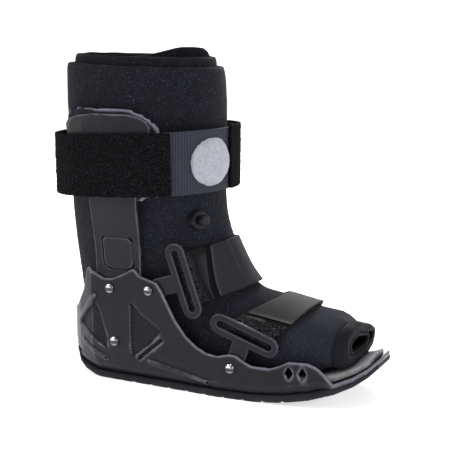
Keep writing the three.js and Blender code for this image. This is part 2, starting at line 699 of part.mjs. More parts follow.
const strapRing = linerRing(linerLevel(CALF_STRAP_CENTRE));
const PLATE_STACK = PAD_SEAT + PAD_THICKNESS + UPRIGHT_THICKNESS + 4 * CLEARANCE;
const CALF_WRAP_LENGTH = 2 * (strapRing.reach + CALF_WRAP_EASE);
const CALF_WRAP_WIDTH = 2 * (strapRing.half + PLATE_STACK);
const WRAP_CENTRE_X = strapRing.centre.x;
const WRAP_SQUARE = 2.4;
const WRAP_FLARE = 0.04;        // widening of the path per millimetre of height

// A point of the strap's path round the calf, moved out by a lift.
function wrapPoint(angle, z, lift) {
  const turn = degToRad(angle);
  const forward = Math.sign(Math.cos(turn)) * Math.abs(Math.cos(turn)) ** (2 / WRAP_SQUARE);
  const sideways = Math.sign(Math.sin(turn)) * Math.abs(Math.sin(turn)) ** (2 / WRAP_SQUARE);
  const height = z - CALF_STRAP_DROP * (1 - forward) / 2;
  const wide = CALF_WRAP_WIDTH / 2 + (height - CALF_STRAP_CENTRE) * WRAP_FLARE;
  return new THREE.Vector3(
    WRAP_CENTRE_X + forward * (CALF_WRAP_LENGTH / 2 + lift), sideways * (wide + lift), height,
  );
}

// Half width of the same path at a given x.
function wrapHalfWidth(x, z, lift) {
  const wide = CALF_WRAP_WIDTH / 2 + (z - CALF_STRAP_CENTRE) * WRAP_FLARE + lift;
  const share = Math.min(Math.abs(x - WRAP_CENTRE_X) / (CALF_WRAP_LENGTH / 2 + lift), 0.995);
  return wide * (1 - share ** WRAP_SQUARE) ** (1 / WRAP_SQUARE);
}

const UPRIGHT_CENTRE_X = WRAP_CENTRE_X - 4;
const FLARE_FROM = ANKLE_WALL_HEIGHT + 1; // the bar starts to flare above the shell
const FLARE_TO = CALF_STRAP_CENTRE - CALF_STRAP_WIDTH / 2;

function uprightHalfWidth(x, z, depth) {
  const flat = ANKLE_WIDTH / 2 - SHELL_WALL - CLEARANCE - depth;
  return lerp(flat, wrapHalfWidth(x, z, -CLEARANCE - depth), smoothstep(z, FLARE_FROM, FLARE_TO));
}

// Edges of the upright: rows of height as a share, and reach to the rear and the front.
const UPRIGHT_EDGES = [
  { up: 0.00, rear: 0.42, front: 0.42 },
  { up: 0.03, rear: 0.48, front: 0.48 },
  { up: 0.32, rear: 0.49, front: 0.49 },
  { up: 0.60, rear: 0.50, front: 0.52 },
  { up: 0.70, rear: 0.55, front: 0.56 },
  { up: 0.80, rear: 0.82, front: 0.72 },
  { up: 0.90, rear: 1.10, front: 0.84 },
  { up: 0.945, rear: 1.16, front: 0.86 },
  { up: 0.97, rear: 1.05, front: 0.80 },
  { up: 0.988, rear: 0.80, front: 0.66 },
  { up: 1.00, rear: 0.36, front: 0.40 },
];

function plateSection(z, rearX, frontX, outerAt, innerAt) {
  const sweep = range(0, Math.PI, 6).map((t) => lerp(rearX, frontX, (1 - Math.cos(t)) / 2));
  return [
    ...sweep.map((x) => new THREE.Vector3(x, -outerAt(x, z), z)),
    ...sweep.slice().reverse().map((x) => new THREE.Vector3(x, -innerAt(x, z), z)),
  ];
}

function uprightReach(z) {
  const share = (z - UPRIGHT_BASE) / (PADDLE_TOP - UPRIGHT_BASE);
  const unit = lerp(UPRIGHT_WIDTH, PADDLE_WIDTH / 2, smoothstep(share, 0.5, 0.95));
  return [
    UPRIGHT_CENTRE_X - unit * readTable(UPRIGHT_EDGES, 'up', 'rear', share),
    UPRIGHT_CENTRE_X + unit * readTable(UPRIGHT_EDGES, 'up', 'front', share),
  ];
}

// The D-shaped lock tab, square at its top and round at its lower rear corner.
function lockTabOutline(grow) {
  const w = LOCK_TAB_WIDTH / 2 + grow;
  const h = LOCK_TAB_HEIGHT / 2 + grow;
  const rearRound = h * 0.55;
  const frontRound = h * 0.35;
  const bevel = h * 0.18;
  const lower = range(Math.PI, Math.PI * 1.5, 3).map((t) => [
    -w + rearRound * (1 + Math.cos(t)), -h + rearRound * (1 + Math.sin(t)),
  ]);
  const front = range(Math.PI * 1.5, Math.PI * 2, 2).map((t) => [
    w - frontRound * (1 - Math.cos(t)), -h + frontRound * (1 + Math.sin(t)),
  ]);
  const outline = [...lower, ...front, [w, h - bevel], [w - bevel, h], [-w + bevel, h], [-w, h - bevel]];
  return outline.map(([x, z]) => [UPRIGHT_CENTRE_X + 1 + x, ANKLE_WALL_HEIGHT * LOCK_TAB_LEVEL + z]);
}

function makeUpright() {
  const shares = UPRIGHT_EDGES.map((row) => row.up);
  const heights = [...new Set([...shares, 0.4, 0.5, 0.85])].sort((a, b) => a - b)
    .map((share) => lerp(UPRIGHT_BASE, PADDLE_TOP, share));
  const plate = (outDepth, inDepth) => toSolid(loft(heights.map((z) => {
    const [rear, front] = uprightReach(z);
    return plateSection(z, rear, front,
      (x, h) => uprightHalfWidth(x, h, outDepth), (x, h) => uprightHalfWidth(x, h, inDepth));
  })));
  const body = plate(0, UPRIGHT_THICKNESS);
  const core = plate(LOCK_GROOVE, UPRIGHT_THICKNESS * 2);
  const proud = plate(-LOCK_TAB_RISE, UPRIGHT_THICKNESS * 0.5);
  const wide = CALF_WRAP_WIDTH;
  const groove = toSolid(sidePrism(lockTabOutline(LOCK_GROOVE), -wide, 0, [lockTabOutline(0).reverse()]));
  const tab = toSolid(sidePrism(lockTabOutline(0), -wide, 0));
  let upright = body.subtract(groove.subtract(core)).add(proud.intersect(tab));
  for (const rivet of RIVETS.slice(0, 2)) {
    const hole = circle(wallPoint(rivet), RIVET_SHANK / 2 + CLEARANCE);
    upright = upright.subtract(toSolid(sidePrism(hole, -wide, 0)));
  }
  return toGeometry(upright);
}

const PAD_EDGES = [
  { up: 0.00, rear: 0.55, front: 0.62 },
  { up: 0.06, rear: 0.80, front: 0.98 },
  { up: 0.15, rear: 1.05, front: 1.12 },
  { up: 0.50, rear: 1.12, front: 1.06 },
  { up: 0.78, rear: 1.15, front: 0.92 },
  { up: 0.90, rear: 1.12, front: 0.74 },
  { up: 0.97, rear: 0.90, front: 0.48 },
  { up: 1.00, rear: 0.52, front: 0.10 },
];

function linerHalfWidth(x, z) {
  const ring = linerRing(linerLevel(z));
  const share = Math.min(Math.abs(x - ring.centre.x) / ring.reach, 0.995);
  return ring.half * (1 - share ** ring.square) ** (1 / ring.square);
}

function makePad() {
  const unit = PAD_WIDTH / 2;
  return loft(PAD_EDGES.map(({ up: share }) => {
    const z = lerp(PAD_BOTTOM, PAD_TOP, share);
    const rear = UPRIGHT_CENTRE_X - unit * readTable(PAD_EDGES, 'up', 'rear', share);
    const front = UPRIGHT_CENTRE_X + unit * readTable(PAD_EDGES, 'up', 'front', share);
    const outer = (x, h) => uprightHalfWidth(x, h, UPRIGHT_THICKNESS + 3 * CLEARANCE);
    const inner = (x, h) => Math.min(linerHalfWidth(x, h) + PAD_SEAT, outer(x, h) - 1);
    return plateSection(z, rear, front, outer, inner);
  }));
}

// Calf strap: bands that follow the path, between two angles

function wrapBand(from, to, steps, liftInside, thickness, width = CALF_STRAP_WIDTH, centre = CALF_STRAP_CENTRE) {
  const low = centre - width / 2;
  const high = centre + width / 2;
  const edge = Math.min(STRAP_EDGE, thickness * 0.3);
  return loft(range(from, to, steps).map((angle) => [
    wrapPoint(angle, low, liftInside), wrapPoint(angle, high, liftInside),
    wrapPoint(angle, high, liftInside + thickness - edge),
    wrapPoint(angle, high - edge, liftInside + thickness),
    wrapPoint(angle, low + edge, liftInside + thickness),
    wrapPoint(angle, low, liftInside + thickness - edge),
  ]));
}

const PILE_NEAR_END = -54;      // angles round the leg: 0 front, -90 near, 90 far
const PILE_FAR_END = -282;
const WEBBING_FROM = -60;
const WEBBING_TO = 84;
const TAB_FROM = 0;
const TAB_TO = 60;
const PUMP_ANGLE = -18;
const PUMP_DROP = 0.5;           // middle of the disc below the strap's
const VALVE_RING = 4.26;
const VALVE_ANGLE = -36;
const WEBBING_LIFT = 0.4;

// Round pieces stand on the surface at a point, along its normal.
function placeOn(geometry, point, normal) {
  const turn = new THREE.Quaternion().setFromUnitVectors(new THREE.Vector3(0, 0, 1), normal);
  return geometry.applyQuaternion(turn).translate(point.x, point.y, point.z);
}

function roundBody(profile, sides) {
  const points = profile.map(([radius, height]) => new THREE.Vector2(radius, height));
  return new THREE.LatheGeometry(points, sides).rotateX(Math.PI / 2);
}

function closedGeometry(geometry) {
  return toGeometry(toSolid(geometry));
}

function wrapFrame(angle, z, lift) {
  const point = wrapPoint(angle, z, lift);
  const ahead = wrapPoint(angle + 1, z, lift).sub(wrapPoint(angle - 1, z, lift));
  const normal = new THREE.Vector3(ahead.y, -ahead.x, 0).normalize();
  return { point, normal };
}

function makePump() {
  const r = PUMP_DIAMETER / 2;
  const base = -2 * PUMP_SAG;
  const dome = roundBody([
    [0, base], [r, base], [r, PUMP_RIM - PUMP_SAG], [r * 0.95, 2 * PUMP_RIM - PUMP_SAG],
    [r * 0.75, PUMP_HEIGHT * 0.55], [r * 0.4, PUMP_HEIGHT * 0.85], [0, PUMP_HEIGHT * 0.95],
  ], 20);
  const { point, normal } = wrapFrame(PUMP_ANGLE, CALF_STRAP_CENTRE - PUMP_DROP, WEBBING_LIFT + WEBBING_THICKNESS);
  const placed = toSolid(placeOn(dome, point, normal));
  const under = WEBBING_LIFT + WEBBING_THICKNESS + CLEARANCE;
  const clear = wrapBand(PUMP_ANGLE - 60, PUMP_ANGLE + 60, 24, under - 12, 12, PUMP_DIAMETER * 2);
  return toGeometry(placed.subtract(toSolid(clear)));
}

// Where the valve stands on the liner, and the axis along which its button is pressed.
function valveFrame() {
  const [at, angle] = [VALVE_RING, VALVE_ANGLE];
  const point = linerPoint(at, angle, 0);
  const alongRing = linerPoint(at, angle + 1, 0).sub(linerPoint(at, angle - 1, 0));
  const alongLeg = linerPoint(at - 0.05, angle, 0).sub(linerPoint(at + 0.05, angle, 0));
  const normal = alongRing.cross(alongLeg).normalize();
  normal.applyAxisAngle(new THREE.Vector3(0, 0, 1), degToRad(VALVE_TURN));
  return { point, normal };
}

function valveBody(profile, sides) {
  const { point, normal } = valveFrame();
  return placeOn(roundBody(profile, sides), point, normal);
}

const VALVE_SIDES = 14;
const STEM_RADIUS = VALVE_STEM_DIAMETER / 2;

// The flange's back is cut to the curve of the leg.
function makeValveFlange() {
  const r = VALVE_FLANGE_DIAMETER / 2;
  const hole = STEM_RADIUS + CLEARANCE;
  const back = -VALVE_SEAT;
  const top = VALVE_SEAT + VALVE_FLANGE_HEIGHT;
  const bevel = VALVE_FLANGE_HEIGHT * 0.3;
  const flange = valveBody([[hole, back], [r, back], [r, top - bevel], [r - bevel, top],
    [hole, top], [hole, back]], VALVE_SIDES);
  const leg = loft(linerRings(VALVE_RING - 1, VALVE_RING + 1, 6, 2 * CLEARANCE));
  return toGeometry(largestPiece(toSolid(flange).subtract(toSolid(leg))));
}

// The button's stem keeps its travel above the liner, and its cap the same above the flange.
function makeValveKnob() {
  const r = VALVE_KNOB_DIAMETER / 2;
  const foot = VALVE_SEAT + VALVE_TRAVEL;
  const cap = VALVE_SEAT + VALVE_FLANGE_HEIGHT + VALVE_TRAVEL + CLEARANCE;
  const end = VALVE_SEAT + VALVE_KNOB_LENGTH;
  return closedGeometry(valveBody([[0, foot], [STEM_RADIUS, foot], [STEM_RADIUS, cap], [r, cap],
    [r, end - 1], [r - 1, end], [0, end]], VALVE_SIDES));
}

// Strap loops: a frame round a slot, a bar that the strap goes round, and a riveted tab

const LOOPS = {
  ankle: {
    slotFrom: { along: 0.404, up: 1.150 },
    slotTo: { along: 0.460, up: 0.705 },
    tab: { along: 0.345, up: 0.850 },
    rivet: RIVETS[2],
  },
  forefoot: {
    slotFrom: { along: 0.548, up: 0.605 },
    slotTo: { along: 0.700, up: 0.455 },
    tab: { along: 0.600, up: 0.330 },
    rivet: RIVETS[3],
  },
};

// A loop lies against the inside of the wall at its rivet, where the wall is narrowest.
function loopFaces({ rivet }) {
  const [x, z] = wallPoint(rivet);
  const wall = Math.min(ANKLE_WIDTH / 2, halfWidthAt(x, z - 2 * LOOP_TAB_RADIUS));
  const outer = wall - SHELL_WALL - CLEARANCE;
  return { outer, inner: outer - LOOP_THICKNESS };
}

function makeLoop(loopSizes) {
  const { slotFrom, slotTo, tab, rivet } = loopSizes;
  const { outer, inner } = loopFaces(loopSizes);
  const [a, b] = [wallPoint(slotFrom), wallPoint(slotTo)];
  const plate = (points) => toSolid(sidePrism(points, -outer, -inner));
  const middle = [lerp(a[0], b[0], 0.5), lerp(a[1], b[1], 0.5)];
  let loop = plate(stadium(a, b, SLOT_RADIUS + LOOP_FRAME, 6));
  loop = loop.add(plate(stadium(wallPoint(rivet), wallPoint(tab), LOOP_TAB_RADIUS, 4)));
  loop = loop.add(plate(stadium(wallPoint(tab), middle, LOOP_NECK_RADIUS, 4)));
  loop = loop.subtract(plate(stadium(a, b, SLOT_RADIUS, 4)));
  return toGeometry(loop.subtract(plate(circle(wallPoint(rivet), RIVET_SHANK / 2 + CLEARANCE))));
}

// A strap is a ribbon whose rings follow the liner's. Its path lies in a ring's own plane:
// forward along the ring's axis, and sideways. It starts behind the near slot, crosses the
// instep, goes out through the far slot, round the bar and back over itself to its free end.

const BASE_LIFT = STRAP_LIFT + STRAP_THICKNESS / 2;
const TOP_LIFT = FLAP_LIFT + STRAP_THICKNESS / 2;
const BAR_GAP = STRAP_THICKNESS / 2 + CLEARANCE;

const STRAPS = {
  ankle: { loop: LOOPS.ankle, flapEnd: -46, turnIn: 50, searchFrom: 4, searchTo: 9 },
  forefoot: { loop: LOOPS.forefoot, flapEnd: -50, turnIn: 54, searchFrom: 8, searchTo: 13 },
};
const STRAP_MARGIN = 0.03;      // strap edge inside the slot's end, as a share of the slot
const SLOT_SETBACK = 0.4;       // the fold in the slot behind the slot's middle
const FOLD_RADIUS = 1.6;        // turn of the fold round the bar
const FOLD_LEAD = 1.5;          // start of that turn in front of the middle
const END_TUCK = 1;             // sewn end behind the near slot
const FLAP_TURN = 4;            // degrees between the base's turn to the bar and the flap's

// The ring whose plane meets the slot's middle line at a point.
function ringThrough(x, z, searchFrom, searchTo) {
  let low = searchFrom;
  let high = searchTo;
  for (let i = 0; i < 40; i += 1) {
    const middle = (low + high) / 2;
    const { centre, axis } = linerRing(middle);
    const side = axis.z * (x - centre.x) - axis.x * (z - centre.z);
    if (side > 0) low = middle;
    else high = middle;
  }
  return low;
}

function strapPath(at, slot, direction, { loop, flapEnd, turnIn }) {
  const ring = linerRing(at);
  const onLiner = (angle, lift) => {
    const point = linerPoint(at, angle, lift).sub(ring.centre);
    return new THREE.Vector2(point.dot(ring.axis), point.y);
  };
  const slotAt = new THREE.Vector2(slot[0] - ring.centre.x, slot[1] - ring.centre.z)
    .dot(new THREE.Vector2(ring.axis.x, ring.axis.z));
  const tilt = Math.abs(ring.axis.x * direction.y - ring.axis.z * direction.x);
  const barTop = slotAt + (SLOT_RADIUS + LOOP_FRAME) / tilt;
  const faces = loopFaces(loop);
  const inside = faces.inner - BAR_GAP;
  const outside = faces.outer + BAR_GAP;
  const start = onLiner(-turnIn, BASE_LIFT);
  return [
    new THREE.Vector2(slotAt - END_TUCK, -inside),
    new THREE.Vector2(barTop, -inside),
    new THREE.Vector2(lerp(barTop, start.x, 0.5), -lerp(inside, -start.y, 0.4)),
    ...range(-turnIn, turnIn, 6).map((angle) => onLiner(angle, BASE_LIFT)),
    new THREE.Vector2(barTop, inside),
    new THREE.Vector2(slotAt + FOLD_LEAD, inside),
    new THREE.Vector2(slotAt - SLOT_SETBACK, inside + FOLD_RADIUS),
    new THREE.Vector2(slotAt - SLOT_SETBACK, outside - FOLD_RADIUS),
    new THREE.Vector2(slotAt + FOLD_LEAD, outside),
    new THREE.Vector2(barTop + FOLD_LEAD, outside),
    ...range(turnIn - FLAP_TURN, flapEnd, 6).map((angle) => onLiner(angle, TOP_LIFT)),
  ];
}

function ribbonOutline(path, thickness) {
  const sides = path.map((point, i) => {
    const before = path[Math.max(i - 1, 0)];
    const after = path[Math.min(i + 1, path.length - 1)];
    const [into, out] = [point.clone().sub(before).normalize(), after.clone().sub(point).normalize()];
    const along = into.add(out).normalize();
    const shift = new THREE.Vector2(-along.y, along.x).multiplyScalar(thickness / 2);
    return [point.clone().add(shift), point.clone().sub(shift)];
  });
  return [...sides.map(([plus]) => plus), ...sides.map(([, minus]) => minus).reverse()];
}

function makeStrap(strap) {
  const [a, b] = [wallPoint(strap.loop.slotFrom), wallPoint(strap.loop.slotTo)];
  const direction = new THREE.Vector2(b[0] - a[0], b[1] - a[1]).normalize();
  return loft(range(STRAP_MARGIN, 1 - STRAP_MARGIN, 4).map((share) => {
    const slot = [lerp(a[0], b[0], share), lerp(a[1], b[1], share)];
    const at = ringThrough(slot[0], slot[1], strap.searchFrom, strap.searchTo);
    const { centre, axis } = linerRing(at);
    return ribbonOutline(strapPath(at, slot, direction, strap), STRAP_THICKNESS).map((p) => {
      const point = axis.clone().multiplyScalar(p.x).add(centre);
      point.y = p.y;
      return point;
    });
  }));
}

// Rivet: a domed head outside the wall and a shank through it

function makeRivet(rivet) {
  const [x, z] = wallPoint(rivet);
  const r = RIVET_DIAMETER / 2;
  const wall = Math.max(...[-r, 0, r].map((step) => halfWidthAt(x, z + step)));
  const seat = CLEARANCE;
  const depth = SHELL_WALL + RIVET_REACH;
  const profile = [[0, -depth], [RIVET_SHANK / 2, -depth], [RIVET_SHANK / 2, seat], [r, seat],
    [r * 0.7, seat + RIVET_DOME * 0.75], [0, seat + RIVET_DOME]];
  const body = roundBody(profile, RIVET_SIDES);
  return closedGeometry(placeOn(body, new THREE.Vector3(x, -wall, z), new THREE.Vector3(0, -1, 0)));
}

// Assembly

const boot = new THREE.Group();

function addPiece(name, geometry, finish) {
  const mesh = new THREE.Mesh(geometry, finish);
  mesh.name = name;
  boot.add(mesh);
  return mesh;
}

addPiece('boot_shell', makeShell(), shellPlastic);
addPiece('outsole', makeOutsole(), soleRubber);
addPiece('insole', makeInsole(), insoleFoam);
addPiece('liner', makeLiner(), linerCloth);
addPiece('liner_inner_layer', makeInnerLayer(), layerCloth);
addPiece('liner_overlap', makeOverlap(), layerCloth);
addPiece('toe_binding', makeBinding(), bindingCloth);

const upright = makeUpright();
const pad = makePad();
for (const [sideName, side] of SIDES) {
  addPiece(`upright_${sideName}`, mirrored(upright, side), shellPlastic);
  addPiece(`upright_pad_${sideName}`, mirrored(pad, side), padFoam);
  for (const [loopName, sizes] of Object.entries(LOOPS)) {
    addPiece(`${loopName}_loop_${sideName}`, mirrored(makeLoop(sizes), side), shellPlastic);
  }
  for (const rivet of RIVETS) addPiece(`${rivet.name}_${sideName}`, mirrored(makeRivet(rivet), side), rivetMetal);
}

addPiece('ankle_strap', makeStrap(STRAPS.ankle), flapCloth);
addPiece('forefoot_strap', makeStrap(STRAPS.forefoot), flapCloth);
addPiece('calf_webbing', wrapBand(WEBBING_FROM, WEBBING_TO, 24, WEBBING_LIFT, WEBBING_THICKNESS), webbingCloth);
addPiece('calf_pile_strap', wrapBand(PILE_NEAR_END, PILE_FAR_END, 38,
  WEBBING_LIFT + WEBBING_THICKNESS + CLEARANCE, PILE_THICKNESS), pileCloth);
addPiece('calf_front_tab', wrapBand(TAB_FROM, TAB_TO, 10,
  WEBBING_LIFT + WEBBING_THICKNESS + CLEARANCE, PILE_THICKNESS, CALF_STRAP_WIDTH + 2, CALF_STRAP_CENTRE + 1), pileCloth);
addPiece('pump_disc', makePump(), pumpFelt);
addPiece('valve_flange', makeValveFlange(), shellPlastic);
addPiece('valve_button', makeValveKnob(), shellPlastic);

export default boot;
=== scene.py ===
"""Looks of the medical walking boot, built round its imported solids. Metres, +X to the toes, +Z up."""

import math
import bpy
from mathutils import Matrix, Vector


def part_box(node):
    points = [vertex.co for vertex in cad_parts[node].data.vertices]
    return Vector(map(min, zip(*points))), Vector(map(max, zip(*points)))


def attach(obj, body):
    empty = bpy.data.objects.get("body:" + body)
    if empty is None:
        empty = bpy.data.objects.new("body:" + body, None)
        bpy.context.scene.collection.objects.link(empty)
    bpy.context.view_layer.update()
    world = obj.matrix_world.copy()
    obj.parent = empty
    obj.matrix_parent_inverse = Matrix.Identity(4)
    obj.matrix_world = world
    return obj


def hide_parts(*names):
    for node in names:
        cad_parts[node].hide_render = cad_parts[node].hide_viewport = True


bl_info = {
    "name": "Walking boot",
    "version": (1, 0, 0),
    "blender": (4, 5, 0),
    "location": "View3D > Sidebar > Boot",
    "description": "Adds the pieces of a medical walking boot and its studio",
    "category": "Add Mesh",
}

import bmesh
import bpy
import numpy as np
from mathutils import Vector, noise
from mathutils.bvhtree import BVHTree

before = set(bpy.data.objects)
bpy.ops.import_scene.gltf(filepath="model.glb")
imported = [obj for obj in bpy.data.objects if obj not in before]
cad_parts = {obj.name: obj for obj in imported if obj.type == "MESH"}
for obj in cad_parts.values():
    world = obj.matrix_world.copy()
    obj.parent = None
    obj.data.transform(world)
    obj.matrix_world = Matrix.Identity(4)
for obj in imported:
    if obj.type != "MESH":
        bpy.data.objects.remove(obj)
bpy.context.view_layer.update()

MM = 0.001
BODY = "boot"
BUTTON_BODY = "valve_button"
SIDES = {"near": -1, "far": 1}


# Sizes and colours that a user would change


class BootSizes(bpy.types.PropertyGroup):
    """Sizes of the finish that the solids don't hold."""

    shell_voxel: bpy.props.FloatProperty(
        name="Shell grain", description="Voxel of the shell's rounded mesh", default=1.0 * MM, unit="LENGTH"
    )
    plate_voxel: bpy.props.FloatProperty(
        name="Plate grain", description="Voxel of the uprights", default=0.7 * MM, unit="LENGTH"
    )
    pad_voxel: bpy.props.FloatProperty(
        name="Pad grain", description="Voxel of the pads before they swell", default=4 * MM, unit="LENGTH"
    )
    pad_swell: bpy.props.FloatProperty(
        name="Pad swell", description="Most that a pad's skin moves out", default=2.2 * MM, unit="LENGTH"
    )
    fold_depth: bpy.props.FloatProperty(
        name="Fold depth", description="Height of the liner's soft waves", default=1.7 * MM, unit="LENGTH"
    )
    pile_height: bpy.props.FloatProperty(
        name="Pile height", description="Roughness of the looped pile", default=0.8 * MM, unit="LENGTH"
    )


def colour(name, description, value):
    return bpy.props.FloatVectorProperty(
        name=name, description=description, default=value, size=3, subtype="COLOR", min=0, max=1
    )


class BootColours(bpy.types.PropertyGroup):
    """Base colours of the boot's materials."""

    shell: colour("Shell", "Moulded plastic", (0.009, 0.009, 0.011))
    rubber: colour("Rubber", "Outsole", (0.009, 0.009, 0.011))
    foam: colour("Foam", "Footbed", (0.27, 0.265, 0.28))
    liner: colour("Liner", "Brushed cloth", (0.0115, 0.0125, 0.0175))
    pile: colour("Pile", "Looped pile", (0.0022, 0.0022, 0.0026))
    webbing: colour("Webbing", "Ribbed band", (0.032, 0.034, 0.048))
    ankle_flap: colour("Ankle flap", "Smooth strap end", (0.015, 0.0155, 0.0205))
    forefoot_flap: colour("Forefoot flap", "Warmer strap end", (0.030, 0.028, 0.028))
    pad: colour("Pad", "Edge of the foam pads", (0.26, 0.25, 0.32))
    felt: colour("Felt", "Pump disc", (0.46, 0.47, 0.53))
    metal: colour("Metal", "Rivets", (0.55, 0.55, 0.57))
    floor: colour("Floor", "Studio floor", (0.95, 0.95, 0.95))


def sizes():
    return bpy.context.scene.boot_sizes


def colours():
    return bpy.context.scene.boot_colours


# Shader maths


# Sockets of a Mix node that mixes colours.
MIX_FACTOR = 0
MIX_FIRST = 6
MIX_SECOND = 7
MIX_RESULT = 2


def put(tree, socket, value):
    """Links a socket to another node's output, or sets its value."""
    if isinstance(value, Socket):
        tree.links.new(value.out, socket)
    elif socket.type == "RGBA" and len(value) == 3:
        socket.default_value = (*value, 1)
    else:
        socket.default_value = value


class Socket:
    """One output of a node. Python's operators on it add Math nodes."""

    def __init__(self, tree, out):
        self.tree = tree
        self.out = out

    def math(self, operation, *values, clamp=False):
        node = self.tree.nodes.new("ShaderNodeMath")
        node.operation = operation
        node.use_clamp = clamp
        for place, value in enumerate(values):
            put(self.tree, node.inputs[place], value)
        return Socket(self.tree, node.outputs[0])

    def __add__(self, other):
        return self.math("ADD", self, other)

    def __radd__(self, other):
        return self.math("ADD", other, self)

    def __sub__(self, other):
        return self.math("SUBTRACT", self, other)

    def __rsub__(self, other):
        return self.math("SUBTRACT", other, self)

    def __mul__(self, other):
        return self.math("MULTIPLY", self, other)

    def __rmul__(self, other):
        return self.math("MULTIPLY", other, self)

    def __truediv__(self, other):
        return self.math("DIVIDE", self, other)

    def size(self):
        return self.math("ABSOLUTE", self)

    def clamped(self):
        return self.math("ADD", self, 0.0, clamp=True)

    def wave(self, length):
        """A sine from 0 to 1 over each length."""
        return self.math("SINE", self * (2 * math.pi / length)) * 0.5 + 0.5

    def above(self, level, soft):
        """0 below a level, 1 above it, with a soft step."""
        return ((self - level) / soft + 0.5).clamped()


class Finish:
    """A material whose nodes are written as expressions."""

    def __init__(self, name, **constants):
        self.material = bpy.data.materials.new(name)
        self.material.use_nodes = True
        self.tree = self.material.node_tree
        self.shader = self.tree.nodes["Principled BSDF"]
        self.place = self.node("ShaderNodeTexCoord", output="Object")
        self.set(**constants)

    def node(self, kind, settings=None, inputs=None, output=0):
        """A node with its settings and its sockets' values or links, as one of its outputs."""
        made = self.tree.nodes.new(kind)
        for key, value in (settings or {}).items():
            setattr(made, key, value)
        for key, value in (inputs or {}).items():
            put(self.tree, made.inputs[key], value)
        return Socket(self.tree, made.outputs[output])

    def noise(self, size, detail=3, roughness=0.55):
        """Noise whose blobs are about a size in metres."""
        inputs = {"Vector": self.place, "Scale": 1 / size, "Detail": detail, "Roughness": roughness}
        return self.node("ShaderNodeTexNoise", inputs=inputs)

    def cells(self, size):
        """Distance from the middle of small cells of a size in metres."""
        inputs = {"Vector": self.place, "Scale": 1 / size}
        return self.node("ShaderNodeTexVoronoi", inputs=inputs, output="Distance")

    def split(self, vector):
        """The three numbers of a vector."""
        first = self.node("ShaderNodeSeparateXYZ", inputs={0: vector})
        return [Socket(self.tree, out) for out in first.out.node.outputs]

    def attribute(self, name):
        """The three numbers of a mesh attribute."""
        return self.split(self.node("ShaderNodeAttribute", {"attribute_name": name}, output="Vector"))

    def where(self):
        """The three Object coordinates."""
        return self.split(self.place)

    def mixed(self, factor, first, second):
        """A colour between two."""
        inputs = {MIX_FACTOR: factor, MIX_FIRST: first, MIX_SECOND: second}
        return self.node("ShaderNodeMix", {"data_type": "RGBA"}, inputs, MIX_RESULT)

    def set(self, **sockets):
        """Gives the shader's sockets their values or links."""
        for name, value in sockets.items():
            put(self.tree, self.shader.inputs[name.replace("_", " ")], value)

    def bump(self, height, depth, under=None):
        """Height from 0 to 1 over a depth in metres, on top of another bump."""
        inputs = {"Height": height, "Distance": depth, "Strength": 1.0}
        if under:
            inputs["Normal"] = under
        bumped = self.node("ShaderNodeBump", inputs=inputs)
        self.set(Normal=bumped)
        return bumped


def shade(base, factor):
    """A colour made lighter or darker by a factor."""
    return tuple(min(1.0, part * factor) for part in base)


# Plastic and rubber reflect a little blue.
COOL_TINT = (0.86, 0.86, 1.0)
# Length of the knurl's diamonds, and how much they lie over.
KNURL = 2.1 * MM
KNURL_SLOPE = 0.55


def moulded_plastic():
    """Satin plastic with a painted highlight on its edges, painted shade in its hollows, and knurled
    panels.
    """
    finish = Finish("moulded_plastic", Specular_IOR_Level=0.2, Specular_Tint=COOL_TINT)
    base = colours().shell
    grime = finish.noise(22 * MM, 4)
    specks = finish.noise(0.9 * MM, 2).above(0.67, 0.05)
    dusty = finish.mixed(grime.above(0.55, 0.5) * 0.5, shade(base, 0.85), shade(base, 1.6))
    speckled = finish.mixed(specks * 0.25, dusty, shade(base, 6))
    x, y, z = finish.where()
    panel = finish.attribute("panel")[0]
    knurl = (x + z * KNURL_SLOPE).wave(KNURL) * (x - z * KNURL_SLOPE).wave(KNURL)
    # Painted highlight on the knurl's raised diamonds, and painted shade in its grooves.
    raised = finish.mixed(panel * knurl.above(0.45, 0.4), speckled, shade(base, 4.5))
    knurl_shaded = finish.mixed(panel * (1 - knurl), raised, shade(base, 0.3))
    # Painted highlight on the edges and painted shade in the hollows, from the mesh's curvature.
    edge_highlight, hollow_shade, rest = finish.attribute("wear_and_painted_light")
    hollow_shaded = finish.mixed(hollow_shade, knurl_shaded, shade(base, 0.15))
    finish.set(
        Base_Color=finish.mixed(edge_highlight * (grime * 0.5 + 0.6), hollow_shaded, shade(base, 22)),
        Roughness=finish.noise(9 * MM, 4) * 0.16 + 0.28 + panel * 0.2,
    )
    pebble = finish.bump(finish.noise(0.55 * MM, 2), 0.035 * MM)
    dented = finish.bump(finish.noise(14 * MM, 2), 0.16 * MM, pebble)
    finish.bump(knurl * panel, 0.5 * MM, dented)
    return finish.material


def sole_rubber():
    finish = Finish("sole_rubber", Specular_IOR_Level=0.2, Specular_Tint=COOL_TINT)
    base = colours().rubber
    wear_and_painted_light = finish.noise(16 * MM, 5).above(0.52, 0.3)
    finish.set(
        Base_Color=finish.mixed(wear_and_painted_light * 0.6, base, shade(base, 2.4)),
        Roughness=finish.noise(5 * MM, 3) * 0.2 + 0.55,
    )
    finish.bump(finish.noise(0.7 * MM, 3), 0.08 * MM)
    return finish.material


def footbed_foam():
    finish = Finish("footbed_foam", Specular_IOR_Level=0.2)
    base = colours().foam
    cells = finish.cells(1.3 * MM)
    spots = finish.noise(0.8 * MM, 3)
    finish.set(
        Base_Color=finish.mixed(spots.above(0.5, 0.35), shade(base, 0.55), shade(base, 1.35)),
        Roughness=spots * 0.15 + 0.78,
    )
    finish.bump(cells, 0.3 * MM, finish.bump(spots, 0.25 * MM))
    return finish.material


# How much lighter the lint is than the cloth.
LINT_SHADE = 7.0


